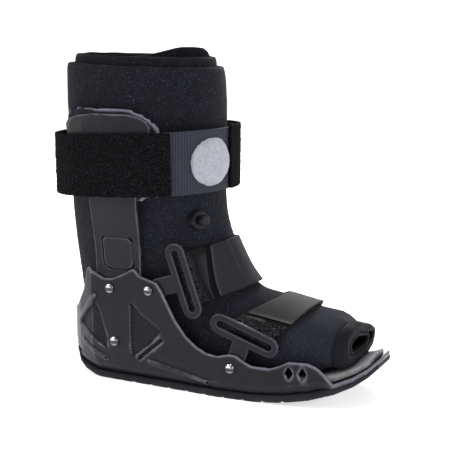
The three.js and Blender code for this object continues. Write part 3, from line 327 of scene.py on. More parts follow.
def brushed(name, base):
    """A dark brushed knit: its finish, its lint, its colour without lint, and its nap."""
    finish = Finish(name, Sheen_Weight=0.03, Sheen_Roughness=0.45, Specular_IOR_Level=0.08)
    fibre = finish.noise(0.9 * MM, 4, 0.75)
    patch = finish.noise(9 * MM, 4, 0.6)
    lint = finish.noise(1.2 * MM, 3, 0.6).above(0.64, 0.06)
    ground = finish.mixed(patch.above(0.5, 0.6), shade(base, 0.7), shade(base, 1.5))
    woolly = finish.mixed(fibre.above(0.5, 0.3), shade(base, 0.35), ground)
    finish.set(Roughness=fibre * 0.12 + 0.82)
    nap = finish.bump(finish.noise(2.6 * MM, 3), 0.35 * MM, finish.bump(fibre, 0.28 * MM))
    return finish, lint, woolly, nap


def brushed_cloth(name, base):
    """The cloth of the liner's inner layers."""
    finish, lint, woolly, nap = brushed(name, base)
    finish.set(Base_Color=finish.mixed(lint * 0.5, woolly, shade(base, LINT_SHADE)))
    return finish.material


def ribbed_vamp_cloth():
    """The liner's cloth, faintly ribbed behind the uprights and clearly over the toes."""
    base = colours().liner
    finish, lint, woolly, nap = brushed("liner_cloth", base)
    x, y, z = finish.where()
    leg = (z * -1).above(-190 * MM, 20 * MM) * z.above(60 * MM, 20 * MM)
    vamp = x.above(62 * MM, 14 * MM) + leg * 0.3
    ribs = x.wave(1.7 * MM)
    ribbed = finish.mixed(ribs * 0.75 * vamp, woolly, shade(base, 2.6))
    finish.set(Base_Color=finish.mixed(lint * 0.6, ribbed, shade(base, LINT_SHADE)))
    finish.bump(ribs * vamp, 0.3 * MM, nap)
    return finish.material


def looped_pile(name, base):
    """Deep black loops with a few bright specks."""
    finish = Finish(name, Specular_IOR_Level=0.04)
    loops = finish.cells(0.9 * MM)
    tufts = finish.noise(3.2 * MM, 4, 0.65)
    lint = finish.noise(0.9 * MM, 3, 0.7).above(0.6, 0.08)
    black = finish.mixed(tufts, shade(base, 0.4), shade(base, 2.6))
    finish.set(Base_Color=finish.mixed(lint * 0.7, black, shade(base, 26)), Roughness=loops * 0.1 + 0.88)
    finish.bump(tufts, 1.4 * MM, finish.bump(loops, 0.9 * MM))
    return finish.material


def ribbed_webbing():
    """Upright ribs crossed by rows of small stitches."""
    finish = Finish("ribbed_webbing", Sheen_Weight=0.03, Sheen_Roughness=0.5, Specular_IOR_Level=0.15)
    base = colours().webbing
    along, across, rest = finish.attribute("weave")
    ribs = along.wave(2.0 * MM)
    dots = across.wave(1.5 * MM)
    thread = finish.noise(0.5 * MM, 2)
    raised = (ribs * 0.6 + 0.4) * (dots * 0.75 + 0.25)
    finish.set(
        Base_Color=finish.mixed(raised * (thread * 0.6 + 0.55), shade(base, 0.35), shade(base, 1.9)),
        Roughness=thread * 0.15 + 0.75,
    )
    finish.bump(raised, 0.3 * MM, finish.bump(thread, 0.12 * MM))
    return finish.material


# How far to the near side a strap's speckled mesh starts.
MESH_START = 39 * MM


def flap_cloth(name, base):
    """A strap: speckled mesh by the near bar, flat on the instep, closely woven on its turned end."""
    finish = Finish(name, Sheen_Weight=0.02, Sheen_Roughness=0.4, Specular_IOR_Level=0.15)
    pile = colours().pile
    along, across, top = finish.attribute("weave")
    hem = finish.attribute("hem")[0]
    mesh = (along * -1).above(MESH_START, 1.5 * MM)
    weave = (along + across).wave(1.1 * MM) * (along - across).wave(1.1 * MM)
    diamonds = (along + across).wave(3.0 * MM) * (along - across).wave(3.0 * MM)
    fuzz = finish.noise(1.5 * MM, 4, 0.75)
    thread = finish.noise(0.5 * MM, 3)
    stain = finish.noise(15 * MM, 4).above(0.5, 0.5)
    woven = finish.mixed(weave * 0.5 + thread * 0.3, shade(base, 0.75), shade(base, 1.4))
    stained = finish.mixed(stain * 0.35, woven, shade(base, 1.7))
    hemmed = finish.mixed(hem * 0.8, stained, shade(base, 3.2))
    flat = finish.mixed(thread, pile, shade(pile, 3.4))
    specks = fuzz.above(0.55, 0.12) * (diamonds * 0.6 + 0.4)
    rough = finish.mixed(specks, shade(pile, 0.6), shade(pile, 42))
    finish.set(
        Base_Color=finish.mixed(top, finish.mixed(mesh, flat, rough), hemmed),
        Roughness=0.92 - top * (0.3 - thread * 0.14),
    )
    close = finish.bump(weave * top, 0.14 * MM)
    finish.bump((fuzz + diamonds) * mesh * (1 - top), 0.9 * MM, close)
    return finish.material


def bound_edge():
    finish = Finish("edge_tape", Sheen_Weight=0.02, Sheen_Roughness=0.4, Specular_IOR_Level=0.1)
    base = shade(colours().liner, 0.4)
    x, y, z = finish.where()
    rows = x.wave(1.3 * MM)
    thread = finish.noise(0.6 * MM, 3)
    finish.set(
        Base_Color=finish.mixed(rows * 0.6 + thread * 0.3, base, shade(base, 2.6)),
        Roughness=thread * 0.1 + 0.7,
    )
    finish.bump(rows, 0.22 * MM, finish.bump(thread, 0.2 * MM))
    return finish.material


def pad_foam():
    """Dark cloth faces round a light foam edge."""
    finish = Finish("pad_foam", Sheen_Weight=0.03, Sheen_Roughness=0.5, Specular_IOR_Level=0.1)
    base = colours().pad
    pores = finish.noise(0.7 * MM, 3, 0.7)
    stain = finish.noise(12 * MM, 4)
    rim = finish.attribute("rim")[0]
    ground = finish.mixed(stain, shade(base, 0.7), shade(base, 1.15))
    foam = finish.mixed(pores.above(0.5, 0.3), shade(base, 0.45), ground)
    finish.set(Base_Color=finish.mixed(rim, colours().liner, foam), Roughness=pores * 0.1 + 0.85)
    finish.bump(pores, 0.35 * MM)
    return finish.material


def grey_felt():
    finish = Finish("grey_felt", Sheen_Weight=0.1, Sheen_Roughness=0.5, Specular_IOR_Level=0.2)
    base = colours().felt
    fibre = finish.noise(0.6 * MM, 4, 0.75)
    clump = finish.noise(3.5 * MM, 3, 0.6)
    dark = finish.noise(0.9 * MM, 2).above(0.66, 0.08)
    ground = finish.mixed(clump.above(0.5, 0.5), shade(base, 0.72), shade(base, 1.2))
    matted = finish.mixed(fibre.above(0.5, 0.3), shade(base, 0.6), ground)
    finish.set(
        Base_Color=finish.mixed(dark * 0.45, matted, shade(base, 0.2)),
        Roughness=fibre * 0.08 + 0.88,
    )
    finish.bump(clump, 0.5 * MM, finish.bump(fibre, 0.4 * MM))
    return finish.material


def chromed_metal():
    """Chrome with a painted reflection in its colour: a bright glint, a dark band and a grey foot, as a
    dome in a studio shows.
    """
    finish = Finish("chromed_metal", Metallic=1.0)
    base = colours().metal
    scuff = finish.noise(1.6 * MM, 4)
    aside, up, rest = finish.attribute("crown")
    # Painted reflection: a dark band round the dome's middle and a bright glint near its top.
    band = up.above(-0.45, 0.2) * (1 - up.above(0.2, 0.25))
    painted_glint = up.above(0.3, 0.15) * (1 - (aside + 0.1).size().above(0.45, 0.2))
    lit = finish.mixed(painted_glint, shade(base, 0.45), shade(base, 1.8))
    finish.set(
        Base_Color=finish.mixed(band * 0.9, lit, shade(base, 0.06)),
        Roughness=scuff * 0.14 + 0.08,
    )
    finish.bump(scuff, 0.02 * MM)
    return finish.material


def studio_floor():
    glow = {"Emission_Color": (1, 1, 1), "Emission_Strength": 0.6}
    finish = Finish("studio_floor", Specular_IOR_Level=0.0, **glow)
    base = colours().floor
    finish.set(Base_Color=finish.mixed(finish.noise(0.4, 2), shade(base, 0.99), base), Roughness=0.9)
    return finish.material


MADE = {}


def finish_named(maker, *values):
    """One material for each maker and its values, made once."""
    key = (maker.__name__, *map(str, values))
    if key not in MADE:
        MADE[key] = maker(*values)
    return MADE[key]


# Mesh helpers


def only(piece):
    """Selects a piece and nothing else."""
    bpy.ops.object.select_all(action="DESELECT")
    piece.select_set(True)
    bpy.context.view_layer.objects.active = piece


def with_modifier(piece, kind, **settings):
    """Adds a modifier and applies it."""
    only(piece)
    modifier = piece.modifiers.new(kind.title(), kind)
    for key, value in settings.items():
        setattr(modifier, key, value)
    bpy.ops.object.modifier_apply(modifier=modifier.name)


def copy_of(node, name):
    """A merged copy of a CAD node, as the start of a finer piece."""
    only(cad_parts[node])
    bpy.ops.object.duplicate()
    piece = bpy.context.view_layer.objects.active
    piece.parent = None
    piece.name = name
    piece.data.name = name
    for key in list(piece.keys()):
        del piece[key]
    piece.data.materials.clear()
    only(piece)
    bpy.ops.object.mode_set(mode="EDIT")
    bpy.ops.mesh.select_all(action="SELECT")
    bpy.ops.mesh.remove_doubles(threshold=0.01 * MM)
    bpy.ops.object.mode_set(mode="OBJECT")
    return piece


def to_quads(piece):
    """Joins a CAD mesh's triangles in pairs, so that it subdivides evenly."""
    only(piece)
    bpy.ops.object.mode_set(mode="EDIT")
    bpy.ops.mesh.select_all(action="SELECT")
    bpy.ops.mesh.tris_convert_to_quads(face_threshold=math.radians(60), shape_threshold=math.radians(60))
    bpy.ops.object.mode_set(mode="OBJECT")


def crease_edges(piece, angle, amount):
    """Creases the edges that turn by more than an angle, so that subdivision keeps them tight."""
    mesh = bmesh.new()
    mesh.from_mesh(piece.data)
    layer = mesh.edges.layers.float.get("crease_edge") or mesh.edges.layers.float.new("crease_edge")
    for edge in mesh.edges:
        if edge.is_manifold and edge.calc_face_angle(0) > math.radians(angle):
            edge[layer] = amount
    mesh.to_mesh(piece.data)
    mesh.free()


def rounded(piece, voxel, passes=3, factor=0.5):
    """Melts a piece into one even mesh with soft edges."""
    with_modifier(piece, "REMESH", mode="VOXEL", voxel_size=voxel, use_smooth_shade=True)
    with_modifier(piece, "SMOOTH", factor=factor, iterations=passes)


def subdivided(piece, levels, angle=None, amount=0.0):
    """Smooths a piece by subdivision, with the edges over an angle kept tight."""
    to_quads(piece)
    if angle:
        crease_edges(piece, angle, amount)
    with_modifier(piece, "SUBSURF", levels=levels, render_levels=levels)


def points_of(piece):
    values = np.empty(len(piece.data.vertices) * 3)
    piece.data.vertices.foreach_get("co", values)
    return values.reshape(-1, 3)


def normals_of(piece):
    values = np.empty(len(piece.data.vertices) * 3)
    piece.data.vertex_normals.foreach_get("vector", values)
    return values.reshape(-1, 3)


def move_points(piece, points):
    piece.data.vertices.foreach_set("co", np.ascontiguousarray(points, dtype=float).ravel())
    piece.data.update()


def waves(points, size, seed=0.0):
    """Smooth noise from -1 to 1, with waves of a size."""
    return np.array([noise.noise(Vector(p) / size + Vector((seed, seed, seed))) for p in points])


def puff(piece, heights):
    """Moves each point out along its normal."""
    move_points(piece, points_of(piece) + normals_of(piece) * np.asarray(heights)[:, None])


# How far a point stands out of its neighbours where its painted edge highlight and hollow shade start and
# where they are full, in mm.
EDGE_LIGHT = {"shell": (0.02, 0.07), "upright": (0.02, 0.09), "loop": (0.02, 0.12)}
# Painted edge highlights show most where the edges face up and forward, as the light falls.
EDGE_LIGHT_EVERYWHERE = 0.45
EDGE_LIGHT_FACING = (0.25, -0.1, 0.65)


def paint_edge_light(piece, kind):
    """Stores a painted highlight for each point on an edge, and painted shade by how deep it lies in a
    hollow.
    """
    least, most = np.array(EDGE_LIGHT[kind]) * MM
    pairs = np.empty(len(piece.data.edges) * 2, dtype=int)
    piece.data.edges.foreach_get("vertices", pairs)
    first, second = pairs.reshape(-1, 2).T
    ends, others = np.concatenate((first, second)), np.concatenate((second, first))
    points = points_of(piece)
    count = np.maximum(np.bincount(ends, minlength=len(points)), 1)

    def around(values):
        return np.bincount(ends, weights=values[others], minlength=len(points)) / count

    middle = np.column_stack([around(points[:, axis]) for axis in range(3)])
    stands = -np.einsum("ij,ij->i", middle - points, normals_of(piece))
    for smoothing in range(3):
        stands = (stands + around(stands)) / 2
    # Painted highlight on the edges that face the light, and painted shade in the hollows.
    lit = np.clip(EDGE_LIGHT_EVERYWHERE + normals_of(piece) @ np.array(EDGE_LIGHT_FACING), 0, 1)
    edge_highlight = np.clip((stands - least) / (most - least), 0, 1) * lit
    hollow_shade = np.clip((-stands - least) / (most - least), 0, 1)
    store(piece, "wear_and_painted_light", edge_highlight, hollow_shade)


def store(piece, name, *columns):
    """Writes up to three numbers for each point, which the materials read."""
    blank = np.zeros(len(piece.data.vertices))
    columns = [*columns, blank, blank][:3]
    attribute = piece.data.attributes.new(name, "FLOAT_VECTOR", "POINT")
    attribute.data.foreach_set("vector", np.column_stack(columns).astype(np.float32).ravel())


def tree_of(node):
    """A tree that finds the nearest point on a CAD node."""
    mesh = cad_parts[node].data
    return BVHTree.FromPolygons([v.co for v in mesh.vertices], [f.vertices for f in mesh.polygons])


def place_piece(piece, nodes, material, body=BODY):
    """Smooth shading, material, body and the CAD nodes that a piece stands for."""
    only(piece)
    bpy.ops.object.shade_smooth()
    piece.data.materials.clear()
    piece.data.materials.append(material)
    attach(piece, body)
    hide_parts(*nodes)


# The short simulation that swells the pads.
CLOTH = {
    "quality": 6,
    "mass": 0.3,
    "tension_stiffness": 12,
    "compression_stiffness": 8,
    "bending_stiffness": 0.6,
    "use_pressure": True,
}
CLOTH_PRESSURE = 4.0
CLOTH_FRAMES = 20


def swell(piece, voxel, most):
    """Inflates a padded piece by a short cloth simulation, and caps how far its skin moves."""
    with_modifier(piece, "REMESH", mode="VOXEL", voxel_size=voxel)
    before = points_of(piece)
    only(piece)
    cloth = piece.modifiers.new("Cloth", "CLOTH")
    for key, value in CLOTH.items():
        setattr(cloth.settings, key, value)
    cloth.settings.uniform_pressure_force = CLOTH_PRESSURE
    cloth.settings.effector_weights.gravity = 0
    cloth.collision_settings.use_collision = False
    cloth.point_cache.frame_start = 1
    cloth.point_cache.frame_end = CLOTH_FRAMES
    for frame_number in range(1, CLOTH_FRAMES + 1):
        bpy.context.scene.frame_set(frame_number)
    bpy.ops.object.modifier_apply(modifier=cloth.name)
    bpy.context.scene.frame_set(1)
    shift = points_of(piece) - before
    length = np.linalg.norm(shift, axis=1, keepdims=True)
    move_points(piece, before + shift * np.minimum(1, most / np.maximum(length, 1e-9)))
    with_modifier(piece, "SUBSURF", levels=2, render_levels=2)


# Pieces


# Most triangles that a remeshed piece keeps.
MOST_TRIANGLES = {"shell": 180000, "outsole": 60000, "upright": 70000}

# Outlines of the two sunk panels in the side view, (x, z) in millimetres.
PANELS = (
    ((-101.1, 72.5), (-97.3, 67.2), (-89.1, 39.9), (-90.3, 30.7), (-109.3, 44.1), (-123.7, 52.5)),
    ((-66.2, 76.7), (-55.1, 65.1), (-35.8, 52.5), (-46.3, 39.9), (-65.9, 25.2)),
)


def within(points, outline):
    """1 for the points inside an outline of the side view, 0 for the others."""
    inside = np.zeros(len(points), dtype=bool)
    x, z = points[:, 0] / MM, points[:, 2] / MM
    for (x0, z0), (x1, z1) in zip(outline, outline[1:] + outline[:1]):
        if z0 != z1:
            crossing = x0 + (z - z0) * (x1 - x0) / (z1 - z0)
            inside ^= ((z0 > z) != (z1 > z)) & (x < crossing)
    return inside.astype(float)


def thin_out(piece, kind):
    """Decimates a piece that has more triangles than its kind may."""
    most = MOST_TRIANGLES[kind]
    count = sum(len(face.vertices) - 2 for face in piece.data.polygons)
    if count > most:
        with_modifier(piece, "DECIMATE", ratio=most / count)


class BOOT_OT_shell(bpy.types.Operator):
    """Adds the moulded shell."""

    bl_idname = "boot.shell"
    bl_label = "Shell"

    def execute(self, context):
        shell = copy_of("boot_shell", "shell_moulding")
        rounded(shell, sizes().shell_voxel, passes=3)
        thin_out(shell, "shell")
        points = points_of(shell)
        inside = np.maximum(*(within(points, outline) for outline in PANELS))
        sides = np.clip(np.abs(normals_of(shell)[:, 1]) * 4 - 1.6, 0, 1)
        store(shell, "panel", inside * sides)
        paint_edge_light(shell, "shell")
        place_piece(shell, ["boot_shell"], finish_named(moulded_plastic))
        return {"FINISHED"}


OUTSOLE_VOXEL = 1.2 * MM
OUTSOLE_SWELL = 0.8 * MM
OUTSOLE_RISE = 1.2 * MM
FOOTBED_VOXEL = 1.4 * MM
# The footbed gets thicker towards the toes: where that starts, over what length, and by how much.
FOOTBED_TOE = 70 * MM
FOOTBED_TOE_LENGTH = 40 * MM
FOOTBED_TOE_RISE = 1.6 * MM


class BOOT_OT_sole(bpy.types.Operator):
    """Adds the rubber outsole and the foam footbed."""

    bl_idname = "boot.sole"
    bl_label = "Sole"

    def execute(self, context):
        outsole = copy_of("outsole", "outsole_tread")
        rounded(outsole, OUTSOLE_VOXEL, passes=2)
        thin_out(outsole, "outsole")
        puff(outsole, np.full(len(outsole.data.vertices), OUTSOLE_SWELL))
        points = points_of(outsole)
        points[:, 2] = np.maximum(points[:, 2], 0)
        points[:, 2] += np.clip(normals_of(outsole)[:, 2], 0, 1) * OUTSOLE_RISE
        move_points(outsole, points)
        place_piece(outsole, ["outsole"], finish_named(sole_rubber))
        insole = copy_of("insole", "footbed")
        rounded(insole, FOOTBED_VOXEL, passes=2)
        points = points_of(insole)
        toe = np.clip((points[:, 0] - FOOTBED_TOE) / FOOTBED_TOE_LENGTH, 0, 1)
        upper = np.clip(normals_of(insole)[:, 2] * 2, 0, 1)
        points[:, 2] += toe * upper * FOOTBED_TOE_RISE
        move_points(insole, points)
        place_piece(insole, ["insole"], finish_named(footbed_foam))
        return {"FINISHED"}


# Where the toe opening's cloth starts to sink along x, y and z, and over what length.
SAG = ((105 * MM, 12 * MM), (-10 * MM, 26 * MM), (46 * MM, 14 * MM))
SAG_DEPTH = 7 * MM
# How far the tape laps back over the liner, over what length, and its swelling and waves, in mm.
TAPE_REACH = 3.5 * MM
TAPE_LAP = 6 * MM
TAPE_SWELL = 0.2
TAPE_WAVES = 0.9
# The fold inside the tape is a smaller copy of it, shifted and creased by these, in mm.
FOLD_SCALE = (0.9, 0.72, 0.62)
FOLD_SHIFT = (-1.0, 1.5, -1.5)
FOLD_CREASE = (1.2, 0.4, 1.2)


def toe_sag(points):
    """Lets the far upper part of the toe opening sink, as the soft cloth does."""
    starts, lengths = np.array(SAG).T
    shares = np.clip((points - starts) / lengths, 0, 1)
    points[:, 2] -= shares.prod(axis=1) * SAG_DEPTH
    return points


class BOOT_OT_liner(bpy.types.Operator):
    """Adds the padded liner with its inner layers."""

    bl_idname = "boot.liner"
    bl_label = "Liner"

    def execute(self, context):
        liner = copy_of("liner", "padded_liner")
        subdivided(liner, 2)
        points = points_of(liner)
        folds = waves(points * (1, 1, 0.45), 26 * MM, 3.1)
        creases = waves(points * (0.6, 0.6, 1.4), 12 * MM, 7.7)
        puff(liner, (folds + 0.4 * creases) * sizes().fold_depth * 0.55)
        move_points(liner, toe_sag(points_of(liner)))
        place_piece(liner, ["liner"], finish_named(ribbed_vamp_cloth))

        cloth = finish_named(brushed_cloth, "layer_cloth", shade(colours().liner, 0.9))
        inner = copy_of("liner_inner_layer", "inner_layer")
        subdivided(inner, 2)
        puff(inner, waves(points_of(inner), 18 * MM, 1.3) * 0.7 * MM)
        place_piece(inner, ["liner_inner_layer"], cloth)

        overlap = copy_of("liner_overlap", "far_overlap")
        subdivided(overlap, 3, 60, 0.5)
        puff(overlap, waves(points_of(overlap), 16 * MM, 5.3) * 0.8 * MM)
        place_piece(overlap, ["liner_overlap"], cloth)

        self.add_toe_tape()
        return {"FINISHED"}

    def add_toe_tape(self):
        """The bound edge of the toe opening, with a fold of cloth inside it."""
        tape = copy_of("toe_binding", "toe_tape")
        subdivided(tape, 2)
        points = points_of(tape)
        middle = points.mean(axis=0)
        behind = np.clip((middle[0] - points[:, 0]) / TAPE_LAP, 0, 1)
        points[:, 0] -= behind * TAPE_REACH
        move_points(tape, points)
        puff(tape, (TAPE_SWELL + TAPE_WAVES * waves(points, 12 * MM, 2.2)) * MM)
        move_points(tape, toe_sag(points_of(tape)))
        fold = copy_of("toe_binding", "toe_fold")
        subdivided(fold, 2)
        points = toe_sag(middle + (points_of(fold) - middle) * FOLD_SCALE + np.array(FOLD_SHIFT) * MM)
        points += waves(points, 14 * MM, 6.1)[:, None] * np.array(FOLD_CREASE) * MM
        move_points(fold, points)
        only(tape)
        fold.select_set(True)
        bpy.ops.object.join()
        place_piece(tape, ["toe_binding"], finish_named(bound_edge))


class BOOT_OT_uprights(bpy.types.Operator):
    """Adds the two plastic uprights."""

    bl_idname = "boot.uprights"
    bl_label = "Uprights"

    def execute(self, context):
        for side in SIDES:
            upright = copy_of(f"upright_{side}", f"paddle_{side}")
            rounded(upright, sizes().plate_voxel, passes=3)
            thin_out(upright, "upright")
            paint_edge_light(upright, "upright")
            place_piece(upright, [f"upright_{side}"], finish_named(moulded_plastic))
        return {"FINISHED"}


# A pad's outline is read in this many sectors round its middle.
SECTORS = 60
RIM_WIDTH = 1.7 * MM


class BOOT_OT_pads(bpy.types.Operator):
    """Adds the foam pads behind the paddles, swollen by a simulation."""

    bl_idname = "boot.pads"
    bl_label = "Pads"

    def execute(self, context):
        for side in SIDES:
            pad = copy_of(f"upright_pad_{side}", f"foam_pad_{side}")
            swell(pad, sizes().pad_voxel, sizes().pad_swell)
            store(pad, "rim", self.edge_of(points_of(pad)))
            place_piece(pad, [f"upright_pad_{side}"], finish_named(pad_foam))
        return {"FINISHED"}

    def edge_of(self, points):
        """1 at a pad's outline in the side view, 0 on its faces."""
        middle = (points.max(axis=0) + points.min(axis=0)) / 2
        x, z = points[:, 0] - middle[0], points[:, 2] - middle[2]
        reach = np.hypot(x, z)
        turn = np.arctan2(z, x)
        sector = ((turn / math.tau + 0.5) * SECTORS).astype(int) % SECTORS
        most = np.array([reach[sector == place].max(initial=0) for place in range(SECTORS)])
        centres = ((np.arange(SECTORS) + 0.5) / SECTORS - 0.5) * math.tau
        inside = np.interp(turn, centres, most, period=math.tau) - reach
        return np.clip(1.7 - inside / RIM_WIDTH, 0, 1)


LOOP_VOXEL = 0.6 * MM


class BOOT_OT_loops(bpy.types.Operator):
    """Adds the strap loops."""

    bl_idname = "boot.loops"
    bl_label = "Strap loops"

    def execute(self, context):
        for side in SIDES:
            for place in ("ankle", "forefoot"):
                loop = copy_of(f"{place}_loop_{side}", f"{place}_ring_{side}")
                rounded(loop, LOOP_VOXEL, passes=4)
                paint_edge_light(loop, "loop")
                node = f"{place}_loop_{side}"
                place_piece(loop, [node], finish_named(moulded_plastic))
        return {"FINISHED"}


RIVET_RIM = 1.0 * MM
RIVET_HEAD = 2.6 * MM
RIVET_DOME = 2.2 * MM
# Steps of the dome: how far in, as a share of the head's radius, and up, as a share of the dome.
DOME_STEPS = ((0.14, 0.30), (0.22, 0.28), (0.28, 0.16))


class BOOT_OT_rivets(bpy.types.Operator):
    """Adds the domed rivets."""

    bl_idname = "boot.rivets"
    bl_label = "Rivets"

    def execute(self, context):
        places = ("upright_rivet", "lower_rivet", "ankle_loop_rivet", "forefoot_loop_rivet")
        for side in SIDES:
            for place in places:
                self.add_rivet(f"{place}_{side}", SIDES[side])
        return {"FINISHED"}

    def add_rivet(self, node, side):
        low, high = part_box(node)
        centre = (low + high) / 2
        head = (high.x - low.x) / 2
        crown = high.y if side > 0 else low.y
        middle = crown - side * (RIVET_HEAD - RIVET_RIM / 2)
        bpy.ops.object.select_all(action="DESELECT")
        bpy.ops.mesh.primitive_cylinder_add(
            vertices=32,
            radius=head,
            depth=RIVET_RIM,
            location=(centre.x, middle, centre.z),
            rotation=(math.pi / 2, 0, 0),
        )
        rivet = bpy.context.view_layer.objects.active
        rivet.name = f"{node}_head"
        bpy.ops.object.transform_apply(location=True, rotation=True, scale=True)
        bpy.ops.object.mode_set(mode="EDIT")
        bpy.ops.mesh.select_all(action="DESELECT")
        bpy.ops.object.mode_set(mode="OBJECT")
        for face in rivet.data.polygons:
            face.select = face.normal.y * side > 0.9
        bpy.ops.object.mode_set(mode="EDIT")
        for inset, rise in DOME_STEPS:
            bpy.ops.mesh.inset(thickness=head * inset, depth=0)
            bpy.ops.transform.translate(value=(0, side * RIVET_DOME * rise, 0))
        bpy.ops.object.mode_set(mode="OBJECT")
        with_modifier(rivet, "BEVEL", width=0.25 * MM, segments=2, limit_method="ANGLE")
        with_modifier(rivet, "SUBSURF", levels=2, render_levels=2)
        points = points_of(rivet)
        aside, up = (points[:, 0] - centre.x) / head, (points[:, 2] - centre.z) / head
        store(rivet, "crown", aside, up)
        place_piece(rivet, [node], finish_named(chromed_metal))


def wrap_coordinates(piece):
    """Distance round the leg and height, for a band that goes round it."""
    low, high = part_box("calf_pile_strap")
    centre = (low + high) / 2
    points = points_of(piece)
    turn = np.arctan2(points[:, 1], points[:, 0] - centre.x)
    reach = (high.x - low.x + high.y - low.y) / 4
    return turn * reach, points[:, 2]


PILE_VOXEL = 0.9 * MM


class BOOT_OT_calf_strap(bpy.types.Operator):
    """Adds the calf strap: ribbed band, pile band and end tab."""

    bl_idname = "boot.calf_strap"
    bl_label = "Calf strap"

    def execute(self, context):
        webbing = copy_of("calf_webbing", "ribbed_band")
        subdivided(webbing, 2, 40, 0.7)
        store(webbing, "weave", *wrap_coordinates(webbing))
        place_piece(webbing, ["calf_webbing"], finish_named(ribbed_webbing))
        pile = finish_named(looped_pile, "looped_pile", tuple(colours().pile))
        for node, name in (("calf_pile_strap", "pile_band"), ("calf_front_tab", "end_tab")):
            band = copy_of(node, name)
            rounded(band, PILE_VOXEL, passes=2)
            points = points_of(band)
            rough = waves(points, 3.4 * MM, 2.0) + 0.8 * waves(points, 1.9 * MM, 9.0)
            puff(band, rough * sizes().pile_height * 0.6)
            place_piece(band, [node], pile)
        return {"FINISHED"}


DISC_VOXEL = 0.8 * MM


class BOOT_OT_pump(bpy.types.Operator):
    """Adds the felt disc of the pump."""

    bl_idname = "boot.pump"
    bl_label = "Pump disc"

    def execute(self, context):
        disc = copy_of("pump_disc", "felt_disc")
        rounded(disc, DISC_VOXEL, passes=5)
        points = points_of(disc)
        puff(disc, (waves(points, 6 * MM, 4.0) * 0.35 + waves(points, 1.3 * MM, 8.0) * 0.12) * MM)
        place_piece(disc, ["pump_disc"], finish_named(grey_felt))
        return {"FINISHED"}


SEAT_VOXEL = 0.45 * MM
BUTTON_VOXEL = 0.4 * MM


class BOOT_OT_valve(bpy.types.Operator):
    """Adds the release valve: its seat and its button."""

    bl_idname = "boot.valve"
    bl_label = "Valve"

    def execute(self, context):
        seat = copy_of("valve_flange", "valve_seat")
        rounded(seat, SEAT_VOXEL, passes=3)
        plastic = finish_named(moulded_plastic)
        place_piece(seat, ["valve_flange"], plastic)
        button = copy_of("valve_button", "valve_cap")
        rounded(button, BUTTON_VOXEL, passes=3)
        place_piece(button, ["valve_button"], plastic, BUTTON_BODY)
        return {"FINISHED"}


# Ends of the strap slots in the side view, (x, z), which give each strap's run across the instep.
SLOTS = {
    "ankle": ((-24.6 * MM, 120.8 * MM), (-8.2 * MM, 74.0 * MM)),
    "forefoot": ((17.6 * MM, 63.5 * MM), (62.1 * MM, 47.8 * MM)),
}
FLAP_DEPTH = 3.6 * MM
# The y of each turned end's free edge, at the slot's first end and at its last.
FLAP_EDGES = {"ankle": (-37.9 * MM, -34.9 * MM), "forefoot": (-37.2 * MM, -38.4 * MM)}
# How far the ankle strap's free edge slants back at its upper corner, and along what direction.
SLANT = 15 * MM
SLANT_REACH = 45 * MM
SLANT_WAY = (0.75, 0.62, 0.23)
# Height over the liner above which a strap's face belongs to its turned end: at the free edge, and how
# much lower it is farther in.
TOP_LEVEL = 3.9 * MM
TOP_DROP = 1.2 * MM
TOP_DROP_LENGTH = 4 * MM
TOP_START = 3 * MM
EDGE_MARGIN = 1 * MM
HEM_WIDTH = 0.9 * MM


class BOOT_OT_straps(bpy.types.Operator):
    """Adds the ankle strap and the forefoot strap."""

    bl_idname = "boot.straps"
    bl_label = "Foot straps"

    def execute(self, context):
        looks = {"ankle": colours().ankle_flap, "forefoot": colours().forefoot_flap}
        liner = tree_of("liner")
        for place, (start, end) in SLOTS.items():
            strap = copy_of(f"{place}_strap", f"{place}_band")
            subdivided(strap, 3 if place == "ankle" else 2, 45, 0.75)
            points = points_of(strap)
            run = Vector((end[0] - start[0], 0, end[1] - start[1]))
            travelled = (points - (start[0], 0, start[1])) @ np.array(run)
            share = np.clip(travelled / run.length_squared, 0, 1)
            across = share * run.length
            depth = np.array([liner.find_nearest(Vector(p))[3] for p in points])
            free = FLAP_EDGES[place][0] + share * (FLAP_EDGES[place][1] - FLAP_EDGES[place][0])
            from_edge = points[:, 1] - free
            turned = from_edge > -EDGE_MARGIN
            bare = TOP_START + (1.3 * SLANT * (1 - share) if place == "ankle" else 0)
            level = TOP_LEVEL - TOP_DROP * np.clip((from_edge - bare) / TOP_DROP_LENGTH, 0, 1)
            top = np.clip((depth - level) / (0.2 * MM) + 0.5, 0, 1) * turned
            store(strap, "weave", points[:, 1], across, top)
            store(strap, "hem", top * np.clip(1.5 - from_edge / HEM_WIDTH, 0, 1))
            if place == "ankle":
                near_end = np.clip(1 - from_edge / SLANT_REACH, 0, 1)
                flap = np.clip((depth - FLAP_DEPTH) / (0.1 * MM) + 1, 0, 1) * turned
                pull = flap * near_end ** 2 * (3 - 2 * near_end) * (1 - share)
                move_points(strap, self.slid(points, depth, pull, liner))
            cloth = finish_named(flap_cloth, f"{place}_cloth", tuple(looks[place]))
            place_piece(strap, [f"{place}_strap"], cloth)
        return {"FINISHED"}

    def slid(self, points, depth, pull, liner):
        """Slides points over the liner, each kept at its own height above it."""
        moved = points + pull[:, None] * np.array(SLANT_WAY) * SLANT
        for index in np.nonzero(pull > 0.001)[0]:
            foot, normal, face, distance = liner.find_nearest(Vector(moved[index]))
            out = Vector(moved[index]) - foot
            moved[index] = foot + out.normalized() * depth[index]
        return moved


# Studio


VIEW_AZIMUTH = 24
CAMERA_REACH = 1.030
CAMERA_HEIGHT = 0.313
TARGET_HEIGHT = 0.1395
LENS = 94.96
SENSOR = 36
FLOOR_RADIUS = 7
FLOOR_SIDES = 64
LIGHT_TARGET = (0, 0, 0.12)
WORLD_STRENGTH = 0.45


def look_at(thing, target):
    direction = Vector(target) - thing.location
    thing.rotation_euler = direction.to_track_quat("-Z", "Y").to_euler()


